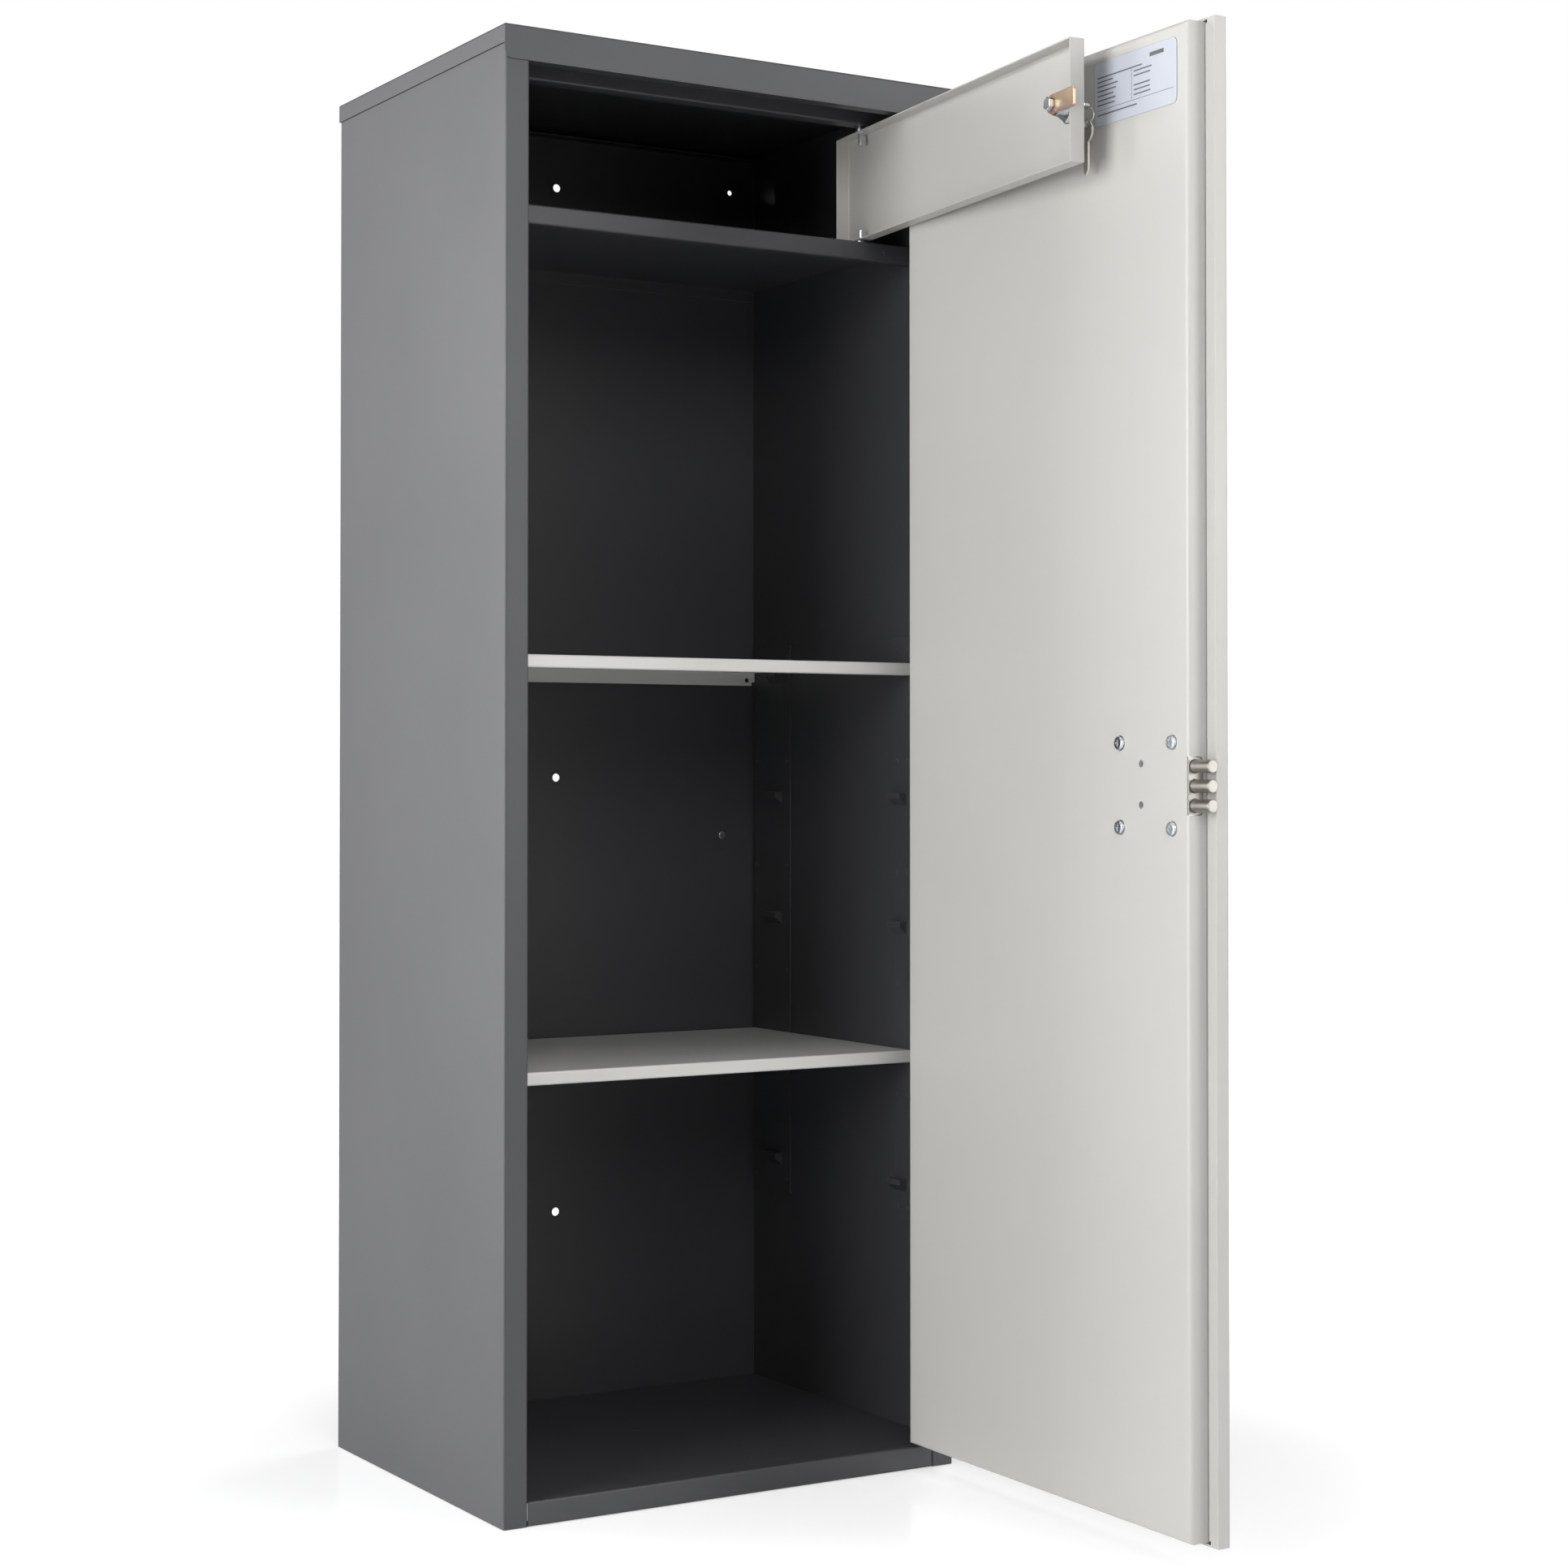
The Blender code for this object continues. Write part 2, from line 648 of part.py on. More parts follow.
def door_inner_pan(hinge):
    """Inner face of the door: a tray whose walls reach into the outer skin."""
    sheet = DOOR_SHEET
    mouth = 0.0002
    reach = SKIN_FRONT + sheet + 2 * GAP
    face_edges = edges_at(1, PAN_FACE)
    outer = box(
        (PAN_LEFT, mouth, PAN_BOTTOM), (SKIN_RIGHT, PAN_FACE, PAN_TOP), face_edges, 0.003, 4
    )
    hollow = box(
        (PAN_LEFT + sheet, mouth - 0.001, PAN_BOTTOM + sheet),
        (SKIN_RIGHT - sheet, PAN_FACE - sheet, PAN_TOP - sheet),
        edges_at(1, PAN_FACE - sheet),
        0.002,
        4,
    )
    wall_end = SKIN_RIGHT - 0.012
    walls = [
        box((PAN_LEFT, reach, PAN_BOTTOM), (PAN_LEFT + sheet, 0.004, PAN_TOP)),
        box((PAN_LEFT, reach, PAN_TOP - sheet), (wall_end, 0.004, PAN_TOP)),
        box((PAN_LEFT, reach, PAN_BOTTOM), (wall_end, 0.004, PAN_BOTTOM + sheet)),
    ]
    tray = joined(cut(outer, hollow), *walls)
    window_half = 0.0230
    window = box(
        (PAN_LEFT - 0.001, 0.0025, BOLT_HEIGHT - window_half),
        (PAN_LEFT + 0.0024, PAN_FACE + 0.001, BOLT_HEIGHT + window_half),
        edges_along(0, lambda x, y, z: y < 0.004),
        0.004,
        4,
    )
    drills = [
        cylinder((x, z), 1, LOCK_SCREW_RADIUS + 0.0003, 0.010, 0.020, SMALL_ROUND)
        for x, z in lock_screw_places()
    ]
    spare = [
        cylinder((PLUG_X, PLUG_HEIGHT + side * 0.0165), 1, 0.0030, 0.010, 0.020, SMALL_ROUND)
        for side in (-1, 1)
    ]
    piece("door_inner_pan", cut(tray, window, *drills, *spare), "grey_coat", hinge)


def label_plate(hinge):
    """Plain adhesive label on the inner face, with rounded corners."""
    low = PAN_FACE + GAP
    mesh = box(
        (0.0370, low, 1.1535),
        (0.1440, low + 0.0003, 1.2060),
        edges_along(1, lambda x, y, z: True),
        0.0050,
        6,
    )
    piece("label_plate", mesh, "paper_label", hinge)


def bolt_heights():
    """Heights of the three bolts."""
    return [BOLT_HEIGHT + BOLT_PITCH * step for step in (-1, 0, 1)]


def lock_screw_places():
    """Where the four lock screws go, as (x, z)."""
    return [
        (x, LOCK_HEIGHT + side * LOCK_SCREW_DZ) for x in LOCK_SCREW_X for side in (1, -1)
    ]


def lock_case(hinge):
    """Open-fronted lock case between the pan and the skin."""
    front = CASE_FRONT
    bottom = LOCK_HEIGHT - CASE_HALF_HEIGHT
    top = LOCK_HEIGHT + CASE_HALF_HEIGHT
    outer = box((CASE_LEFT, front, bottom), (CASE_RIGHT, CASE_BACK, top))
    hollow = box(
        (CASE_LEFT + CASE_SHEET, front - 0.001, bottom + CASE_SHEET),
        (CASE_RIGHT - CASE_SHEET, CASE_BACK - CASE_SHEET, top - CASE_SHEET),
    )
    drills = [
        cylinder((BOLT_DEPTH, height), 0, BOLT_RADIUS + 0.0004, CASE_LEFT - 0.001, 0.032)
        for height in bolt_heights()
    ]
    drills += [
        cylinder((x, z), 1, LOCK_SCREW_RADIUS + 0.0003, 0.010, 0.020, SMALL_ROUND)
        for x, z in lock_screw_places()
    ]
    half = BOLT_PITCH + BOLT_RADIUS + 0.001
    slot = box(
        (CASE_LEFT - 0.001, CASE_BACK - 0.003, BOLT_HEIGHT - half),
        (0.0700, CASE_BACK + 0.001, BOLT_HEIGHT + half),
    )
    piece("lock_case", cut(outer, hollow, slot, *drills), "zinc_plate", hinge)


def lock_forend(hinge):
    """Face plate of the lock in the pan's side window, with three bolt holes."""
    half = 0.0226
    left = PAN_LEFT + 0.0006
    plate = box(
        (left, 0.0030, BOLT_HEIGHT - half),
        (left + 0.0014, 0.0169, BOLT_HEIGHT + half),
        edges_along(0, lambda x, y, z: y < 0.004),
        0.0035,
        4,
    )
    drills = [
        cylinder((BOLT_DEPTH, height), 0, BOLT_RADIUS + 0.0004, left - 0.001, left + 0.003)
        for height in bolt_heights()
    ]
    piece("lock_forend", cut(plate, *drills), "nickel", hinge)


def lock_bolts(slider):
    """Three round bolts and the carrier plate behind them."""
    for number, height in enumerate(reversed(bolt_heights()), 1):
        mesh = cylinder((BOLT_DEPTH, height), 0, BOLT_RADIUS, BOLT_TIP, BOLT_TAIL, ROUND, 0.0007)
        piece("lock_bolt_%d" % number, mesh, "nickel", slider, 40)
    half = BOLT_PITCH + 0.005
    low = BOLT_TAIL + GAP
    mesh = box((low, 0.0040, BOLT_HEIGHT - half), (low + 0.0035, 0.0146, BOLT_HEIGHT + half))
    piece("bolt_carrier", mesh, "zinc_plate", slider)


def cross_recess(x, z, top, depth):
    """Two crossed bars that cut a cross recess into a screw head."""
    arm = 0.0026
    half = 0.0005
    return [
        box((x - arm, top - depth, z - half), (x + arm, top + 0.001, z + half)),
        box((x - half, top - depth, z - arm), (x + half, top + 0.001, z + arm)),
    ]


def lock_screws(hinge):
    """Four pan-head screws that hold the lock case."""
    seat = PAN_FACE + GAP
    top = seat + 0.0027
    for number, (x, z) in enumerate(lock_screw_places(), 1):
        head = cylinder((x, z), 1, 0.0055, seat, top, 24, 0.0011)
        shank = cylinder((x, z), 1, LOCK_SCREW_RADIUS, 0.0110, top - 0.0015, SMALL_ROUND)
        mesh = cut(joined(head, shank), *cross_recess(x, z, top, 0.0011))
        piece("lock_screw_%d" % number, mesh, "zinc_plate", hinge, 40)


def lock_escutcheon(hinge):
    """Round plate round the keyhole on the door's outer face."""
    back = SKIN_FRONT - GAP
    disc = cylinder((PLUG_X, PLUG_HEIGHT), 1, 0.0130, back - 0.0018, back, ROUND, 0.0006)
    hole = cylinder((PLUG_X, PLUG_HEIGHT), 1, PLUG_RADIUS + 0.0005, back - 0.003, back + 0.002)
    piece("lock_escutcheon", cut(disc, hole), "nickel", hinge, 40)


def lock_plug(turner):
    """Round plug of the main lock, with its keyway."""
    face = SKIN_FRONT - 0.0016
    bar = cylinder((PLUG_X, PLUG_HEIGHT), 1, PLUG_RADIUS, face, 0.0080, ROUND, 0.0004)
    keyway = box(
        (PLUG_X - 0.0011, face - 0.001, PLUG_HEIGHT - 0.0048),
        (PLUG_X + 0.0011, face + 0.012, PLUG_HEIGHT + 0.0048),
    )
    piece("lock_plug", cut(bar, keyway), "nickel", turner, 40)


def knuckle(low, high):
    """Tube of a hinge round its pin."""
    axis = DOOR_AXIS.xy
    return cylinder(axis, 2, KNUCKLE_RADIUS, low, high, 24)


def pin_bore(low, high):
    """Cutter for the bore of a knuckle."""
    return cylinder(DOOR_AXIS.xy, 2, HINGE_PIN_RADIUS + 0.00015, low - 0.001, high + 0.001, 20)


def door_hinges(frame, hinge):
    """Two lift-off hinges: a fixed leaf and pin below, a leaf on the door above."""
    x, y = DOOR_AXIS.xy
    for label, height in zip(("lower", "upper"), HINGE_HEIGHTS):
        low = height - KNUCKLE_LENGTH
        middle = height - GAP / 2
        leaf = box((x + 0.0031, y, low), (x + 0.0045, 0.0130, middle))
        fixed = cut(joined(knuckle(low, middle), leaf), pin_bore(low, middle))
        piece(label + "_hinge_frame_leaf", fixed, "zinc_plate", frame, 40)
        pin = cylinder((x, y), 2, HINGE_PIN_RADIUS, low, height + KNUCKLE_LENGTH, 20, 0.0004)
        piece(label + "_hinge_pin", pin, "zinc_plate", frame, 40)
        base = height + GAP / 2
        top = height + KNUCKLE_LENGTH
        inner = SKIN_FRONT + DOOR_SHEET + GAP
        arm = box((x - 0.0030, inner, base), (x - 0.0016, y, top))
        plate = box((x - 0.0280, inner, base), (x - 0.0016, inner + 0.0014, top))
        moving = cut(joined(knuckle(base, top), arm, plate), pin_bore(base, top))
        piece(label + "_hinge_door_leaf", moving, "zinc_plate", hinge, 40)


# ---------------------------------------------------------------- treasury door


def treasury_door(hinge):
    """Inner door: a tray open to the back, with a pin hole in its top and bottom flanges."""
    sheet = DOOR_SHEET
    back = TREASURY_FRONT + TREASURY_DEPTH
    outer = box(
        (TREASURY_LEFT, TREASURY_FRONT, TREASURY_BOTTOM),
        (TREASURY_RIGHT, back, TREASURY_TOP),
        edges_at(1, TREASURY_FRONT),
        0.0015,
    )
    hollow = box(
        (TREASURY_LEFT + sheet, TREASURY_FRONT + sheet, TREASURY_BOTTOM + sheet),
        (TREASURY_RIGHT - sheet, back + 0.001, TREASURY_TOP - sheet),
        edges_at(1, TREASURY_FRONT + sheet),
        0.0008,
    )
    x, y = TREASURY_AXIS.xy
    pins = cylinder((x, y), 2, 0.0024, TREASURY_BOTTOM - 0.002, TREASURY_TOP + 0.002, SMALL_ROUND)
    centre = (CAM_LOCK_X, CAM_LOCK_HEIGHT)
    hole = cylinder(centre, 1, 0.0094, TREASURY_FRONT - 0.001, TREASURY_FRONT + 0.003)
    piece("treasury_door", cut(outer, hollow, pins, hole), "grey_coat", hinge)


def cam_lock(hinge):
    """Fixed parts of the treasury lock: threaded body with its head, and the nut."""
    centre = (CAM_LOCK_X, CAM_LOCK_HEIGHT)
    front = TREASURY_FRONT - GAP
    head = cylinder(centre, 1, 0.0110, front - 0.0032, front, ROUND, 0.0008)
    barrel = cylinder(centre, 1, 0.0090, front - 0.0010, CAM_FRONT - 0.0009)
    bore = cylinder(centre, 1, CAM_PLUG_RADIUS + 0.0003, front - 0.005, CAM_FRONT + 0.002)
    piece("cam_lock_body", cut(joined(head, barrel), bore), "zinc_plate", hinge, 40)
    seat = TREASURY_FRONT + DOOR_SHEET + GAP
    nut = cylinder(centre, 1, 0.0140, seat, seat + 0.0037, 6, 0.0005)
    hole = cylinder(centre, 1, 0.0093, seat - 0.002, seat + 0.008)
    piece("cam_lock_nut", cut(nut, hole), "zinc_plate", hinge)


def cam_outline():
    """Outline of the cam in X and Z: round at the plug, square with rounded tip corners."""
    half = CAM_WIDTH / 2
    x, z = CAM_LOCK_X, CAM_LOCK_HEIGHT
    tip = x - CAM_REACH
    corner = 0.0020
    points = arc((x, z), half, -90, 90, 10)
    points += arc((tip + corner, z + half - corner), corner, 90, 180, 4)
    points += arc((tip + corner, z - half + corner), corner, 180, 270, 4)
    return points


def treasury_key_group(turner):
    """Everything that turns with the treasury key: plug, cam, cam screw and key."""
    centre = (CAM_LOCK_X, CAM_LOCK_HEIGHT)
    front = TREASURY_FRONT - GAP - 0.0029
    plug = cylinder(centre, 1, CAM_PLUG_RADIUS, front, CAM_FRONT - GAP, ROUND, 0.0003)
    piece("treasury_plug", plug, "nickel", turner, 40)
    cam = prism(cam_outline(), 1, CAM_FRONT, CAM_FRONT + CAM_THICKNESS)
    eye = cylinder(centre, 1, 0.0028, CAM_FRONT - 0.001, CAM_FRONT + 0.004, SMALL_ROUND)
    piece("treasury_cam", cut(cam, eye), "yellow_chromate", turner)
    seat = CAM_FRONT + CAM_THICKNESS + GAP
    head = cylinder(centre, 1, 0.0056, seat, seat + 0.0043, 6, 0.0005)
    shank = cylinder(centre, 1, 0.0025, CAM_FRONT + GAP, seat + 0.001, SMALL_ROUND)
    piece("cam_screw", joined(head, shank), "zinc_plate", turner)
    piece("treasury_key", treasury_key_mesh(front - GAP), "nickel", turner, 40)


def treasury_key_mesh(shoulder):
    """Key standing in the lock with its flat bow level: short neck and a wide bow with an eye."""
    low = CAM_LOCK_HEIGHT - KEY_THICKNESS / 2
    high = CAM_LOCK_HEIGHT + KEY_THICKNESS / 2
    half = KEY_BOW_WIDTH / 2
    bow = box(
        (CAM_LOCK_X - half, KEY_BOW_FRONT, low),
        (CAM_LOCK_X + half, KEY_BOW_BACK, high),
        edges_along(2, lambda x, y, z: True),
        0.0040,
        5,
    )
    neck = box((CAM_LOCK_X - 0.0042, KEY_BOW_BACK - 0.003, low), (CAM_LOCK_X + 0.0042, shoulder, high))
    eye = cylinder((CAM_LOCK_X, KEY_HOLE_Y), 2, KEY_HOLE_RADIUS, low - 0.001, high + 0.001, 24)
    return cut(joined(bow, neck), eye)


def key_ring_mesh():
    """Round wire ring hanging from the tip of the key's bow."""
    work = bmesh.new()
    centre = Vector((CAM_LOCK_X, RING_Y, CAM_LOCK_HEIGHT - RING_DROP))
    bmesh.ops.create_circle(work, segments=8, radius=RING_WIRE)
    start = centre + Vector((0.0, RING_RADIUS, 0.0))
    bmesh.ops.translate(work, verts=work.verts, vec=start)
    bmesh.ops.spin(
        work,
        geom=list(work.verts) + list(work.edges),
        cent=centre,
        axis=(1.0, 0.0, 0.0),
        angle=2 * math.pi,
        steps=40,
        use_merge=True,
    )
    bmesh.ops.remove_doubles(work, verts=work.verts, dist=1e-6)
    return mesh_of(work)


def spare_key_mesh():
    """Second key of the pair, hanging from the ring by the eye in its bow."""
    wire_bottom = CAM_LOCK_HEIGHT - RING_DROP - RING_RADIUS
    eye_radius = 0.0032
    eye = wire_bottom - (eye_radius - RING_WIRE - GAP)
    bow_radius = 0.0098
    bow_middle = eye - 0.0053
    tip = bow_middle - bow_radius - 0.0250
    half = KEY_THICKNESS / 2
    bow = cylinder((0.0, bow_middle), 1, bow_radius, -half, half, ROUND, 0.0003)
    blade = [(-0.0036, bow_middle - 0.006), (-0.0036, tip + 0.003), (-0.0010, tip), (0.0015, tip)]
    for step in range(5):
        base = tip + 0.0015 + 0.0040 * step
        blade += [(0.0036, base + 0.0008), (0.0036, base + 0.0018), (0.0020, base + 0.0030)]
    blade.append((0.0036, bow_middle - 0.006))
    shank = prism(blade, 1, -half * 0.9, half * 0.9)
    hole = cylinder((0.0, eye), 1, eye_radius, -0.003, 0.003, SMALL_ROUND)
    mesh = cut(joined(bow, shank), hole)
    mesh.transform(Matrix.Translation((CAM_LOCK_X, RING_Y, 0.0)))
    return mesh


# ---------------------------------------------------------------- assembly


def build_cabinet(frame):
    """Everything that stands still."""
    top_lid(frame)
    side_panels(frame)
    back_panel(frame)
    back_rivet(frame)
    floor_pan(frame)
    floor_stiffener(frame)
    treasury_top_rail(frame)
    treasury_shelf(frame)
    treasury_catch(frame)
    treasury_pins(frame)
    strike_plate(frame)
    shelf_rails(frame)
    shelf("upper_shelf", 0, frame)
    shelf("lower_shelf", 3, frame)


def build_outer_door(frame):
    """The outer door with its lock, swung open on its hinge empty."""
    hinge = empty("outer_door_axis", DOOR_AXIS, frame, DOOR_OPEN_DEG)
    slider = empty("bolt_slide_axis", (BOLT_TIP, BOLT_DEPTH, BOLT_HEIGHT), hinge)
    turner = empty("lock_plug_axis", (PLUG_X, SKIN_FRONT, PLUG_HEIGHT), hinge)
    door_skin(hinge)
    door_inner_pan(hinge)
    label_plate(hinge)
    lock_case(hinge)
    lock_forend(hinge)
    lock_bolts(slider)
    lock_screws(hinge)
    lock_escutcheon(hinge)
    lock_plug(turner)
    door_hinges(frame, hinge)


def build_treasury_door(frame):
    """The treasury door with its lock and keys, swung open on its pins."""
    hinge = empty("treasury_door_axis", TREASURY_AXIS, frame, TREASURY_OPEN_DEG)
    lock_axis = (CAM_LOCK_X, TREASURY_FRONT, CAM_LOCK_HEIGHT)
    turner = empty("treasury_key_axis", lock_axis, hinge)
    ring_axis = (CAM_LOCK_X, RING_Y, CAM_LOCK_HEIGHT + KEY_THICKNESS / 2)
    ring_swing = empty("key_ring_axis", ring_axis, turner)
    key_axis = (CAM_LOCK_X, RING_Y, CAM_LOCK_HEIGHT - RING_DROP - RING_RADIUS)
    key_swing = empty("spare_key_axis", key_axis, ring_swing)
    treasury_door(hinge)
    cam_lock(hinge)
    treasury_key_group(turner)
    piece("key_ring", key_ring_mesh(), "nickel", ring_swing, 60)
    piece("spare_key", spare_key_mesh(), "nickel", key_swing, 40)


def main():
    """Build the whole cabinet at rest, with both doors open."""
    clear_scene()
    frame = empty("cabinet_frame", (-WIDTH / 2, -DEPTH / 2, 0.0))
    build_cabinet(frame)
    build_outer_door(frame)
    build_treasury_door(frame)


main()
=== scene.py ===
"""Looks of the steel security cabinet: finishes, small hardware details, studio and camera."""

import json
import logging
import math
import random
from dataclasses import dataclass, field
from enum import Enum

import bmesh
import bpy
from mathutils import Matrix, Vector


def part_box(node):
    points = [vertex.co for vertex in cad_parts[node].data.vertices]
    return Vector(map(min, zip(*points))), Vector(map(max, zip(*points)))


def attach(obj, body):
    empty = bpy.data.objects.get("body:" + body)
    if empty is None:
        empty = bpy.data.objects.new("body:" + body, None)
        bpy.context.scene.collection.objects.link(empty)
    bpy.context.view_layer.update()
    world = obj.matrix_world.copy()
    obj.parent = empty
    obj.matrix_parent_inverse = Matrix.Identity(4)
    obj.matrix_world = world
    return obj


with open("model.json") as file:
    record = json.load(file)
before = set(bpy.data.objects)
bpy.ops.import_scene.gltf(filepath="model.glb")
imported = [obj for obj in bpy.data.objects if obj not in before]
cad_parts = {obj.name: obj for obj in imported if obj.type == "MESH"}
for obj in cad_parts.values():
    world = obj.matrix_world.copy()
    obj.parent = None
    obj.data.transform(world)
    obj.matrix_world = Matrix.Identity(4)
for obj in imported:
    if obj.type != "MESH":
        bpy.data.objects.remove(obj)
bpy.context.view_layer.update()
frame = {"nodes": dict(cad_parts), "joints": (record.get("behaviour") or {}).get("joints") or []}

logging.basicConfig(level=logging.INFO, format="%(message)s")
LOG = logging.getLogger("cabinet")

Colour = tuple[float, float, float]
Place = tuple[float, float, float]


class Slot(Enum):
    """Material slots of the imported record."""

    BODY = "body_coat"
    DOOR = "door_coat"
    ZINC = "zinc"
    NICKEL = "nickel"
    CHROMATE = "chromate"
    LABEL = "label"


# ---------------------------------------------------------------- shader groups

# Places of a colour Mix node's A and B among its inputs, and of its colour among its outputs
MIX_A, MIX_B, MIX_RESULT = 6, 7, 2


class GroupBuilder:
    """Builds one shader node group with named inputs and outputs."""

    def __init__(self, name: str) -> None:
        """Start an empty group.

        Args:
            name: the group's name.
        """
        self.tree = bpy.data.node_groups.new(name, "ShaderNodeTree")
        self.entry = self.tree.nodes.new("NodeGroupInput")
        self.exit = self.tree.nodes.new("NodeGroupOutput")

    def value_in(self, name: str, default: float) -> None:
        """Add a number input.

        Args:
            name: the input's name.
            default: its value when nothing is linked.
        """
        socket = self.tree.interface.new_socket(name, in_out="INPUT", socket_type="NodeSocketFloat")
        socket.default_value = default

    def colour_in(self, name: str, default: Colour) -> None:
        """Add a colour input.

        Args:
            name: the input's name.
            default: its colour when nothing is linked.
        """
        socket = self.tree.interface.new_socket(name, in_out="INPUT", socket_type="NodeSocketColor")
        socket.default_value = (*default, 1.0)

    def out(self, name: str, kind: str = "NodeSocketFloat") -> None:
        """Add an output.

        Args:
            name: the output's name.
            kind: its socket type.
        """
        self.tree.interface.new_socket(name, in_out="OUTPUT", socket_type=kind)

    def node(self, kind: str, **settings: object) -> bpy.types.Node:
        """Add a node.

        Args:
            kind: the node's type name.
            **settings: attributes to set on it.

        Returns:
            The new node.
        """
        made = self.tree.nodes.new(kind)
        for key, setting in settings.items():
            setattr(made, key, setting)
        return made

    def link(self, source: bpy.types.NodeSocket, target: bpy.types.NodeSocket) -> None:
        """Link two sockets.

        Args:
            source: an output socket.
            target: an input socket.
        """
        self.tree.links.new(source, target)

    def ramp(self, source: bpy.types.NodeSocket, low: float, high: float) -> bpy.types.NodeSocket:
        """Stretch a value so that low becomes 0 and high becomes 1.

        Args:
            source: the value.
            low: what becomes 0.
            high: what becomes 1.

        Returns:
            The stretched value.
        """
        made = self.node("ShaderNodeMapRange")
        self.link(source, made.inputs["Value"])
        made.inputs["From Min"].default_value = low
        made.inputs["From Max"].default_value = high
        return made.outputs["Result"]

    def noise(
        self, scale_input: str, detail: float, stretch: Place = (1.0, 1.0, 1.0)
    ) -> bpy.types.NodeSocket:
        """A noise in the piece's own coordinates.

        Args:
            scale_input: name of the group input that sets the noise's scale.
            detail: octaves of the noise.
            stretch: scale along each axis.

        Returns:
            The noise value.
        """
        place = self.node("ShaderNodeTexCoord")
        stretched = self.node("ShaderNodeMapping")
        stretched.inputs["Scale"].default_value = stretch
        made = self.node("ShaderNodeTexNoise")
        made.inputs["Detail"].default_value = detail
        self.link(place.outputs["Object"], stretched.inputs["Vector"])
        self.link(stretched.outputs["Vector"], made.inputs["Vector"])
        self.link(self.entry.outputs[scale_input], made.inputs["Scale"])
        return made.outputs["Fac"]


class Effects:
    """The shared effects, each built once."""

    def __init__(self) -> None:
        """Build every group."""
        self.peel = self._peel()
        self.edges = self._edges()
        self.handling = self._handling()
        self.grain = self._grain()
        self.tarnish = self._tarnish()

    def _peel(self) -> bpy.types.NodeTree:
        """Fine orange peel of a powder coat, with a slower waviness under it.

        Returns:
            The group.
        """
        made = GroupBuilder("orange_peel")
        made.value_in("Scale", 900.0)
        made.value_in("Wave Scale", 9.0)
        made.out("Height")
        fine = made.noise("Scale", 2.0)
        slow = made.noise("Wave Scale", 1.0)
        mixed = made.node("ShaderNodeMath", operation="MULTIPLY_ADD")
        made.link(slow, mixed.inputs[0])
        mixed.inputs[1].default_value = 2.0
        made.link(fine, mixed.inputs[2])
        made.link(mixed.outputs["Value"], made.exit.inputs["Height"])
        return made.tree

    def _edges(self) -> bpy.types.NodeTree:
        """Rounded normals and a mask of the edges where a coat thins.

        Returns:
            The group.
        """
        made = GroupBuilder("soft_edges")
        made.out("Normal", "NodeSocketVector")
        made.out("Mask")
        bevel = made.node("ShaderNodeBevel", samples=4)
        bevel.inputs["Radius"].default_value = 0.0006
        flat = made.node("ShaderNodeNewGeometry")
        dot = made.node("ShaderNodeVectorMath", operation="DOT_PRODUCT")
        made.link(bevel.outputs["Normal"], dot.inputs[0])
        made.link(flat.outputs["Normal"], dot.inputs[1])
        made.link(made.ramp(dot.outputs["Value"], 0.995, 0.80), made.exit.inputs["Mask"])
        made.link(bevel.outputs["Normal"], made.exit.inputs["Normal"])
        return made.tree

    def _handling(self) -> bpy.types.NodeTree:
        """Slow patches of dust and wiping that shift the gloss.

        Returns:
            The group.
        """
        made = GroupBuilder("handling")
        made.value_in("Scale", 5.0)
        made.out("Smudge")
        made.link(made.ramp(made.noise("Scale", 5.0), 0.35, 0.70), made.exit.inputs["Smudge"])
        return made.tree

    def _grain(self) -> bpy.types.NodeTree:
        """Fine drawn lines of a plated part.

        Returns:
            The group.
        """
        made = GroupBuilder("drawn_grain")
        made.value_in("Scale", 160.0)
        made.out("Height")
        made.link(made.noise("Scale", 4.0, (14.0, 14.0, 1.0)), made.exit.inputs["Height"])
        return made.tree

    def _tarnish(self) -> bpy.types.NodeTree:
        """Cloudy change between two tints of a plated surface.

        Returns:
            The group.
        """
        made = GroupBuilder("tarnish")
        made.value_in("Scale", 60.0)
        made.colour_in("Tint A", (0.7, 0.7, 0.7))
        made.colour_in("Tint B", (0.6, 0.6, 0.6))
        made.out("Colour", "NodeSocketColor")
        mix = made.node("ShaderNodeMix", data_type="RGBA")
        made.link(made.ramp(made.noise("Scale", 4.0), 0.38, 0.62), mix.inputs["Factor"])
        made.link(made.entry.outputs["Tint A"], mix.inputs[MIX_A])
        made.link(made.entry.outputs["Tint B"], mix.inputs[MIX_B])
        made.link(mix.outputs[MIX_RESULT], made.exit.inputs["Colour"])
        return made.tree


# ---------------------------------------------------------------- finishes

COAT_ROUGHNESS = 0.22
PLATE_CLOUDS = 55.0
PAINT_CLOUDS = 4.0


def placed_group(tree: bpy.types.NodeTree, effect: bpy.types.NodeTree) -> bpy.types.Node:
    """Put a shared effect into a material.

    Args:
        tree: the material's nodes.
        effect: the effect's node group.

    Returns:
        The group's node.
    """
    made = tree.nodes.new("ShaderNodeGroup")
    made.node_tree = effect
    return made


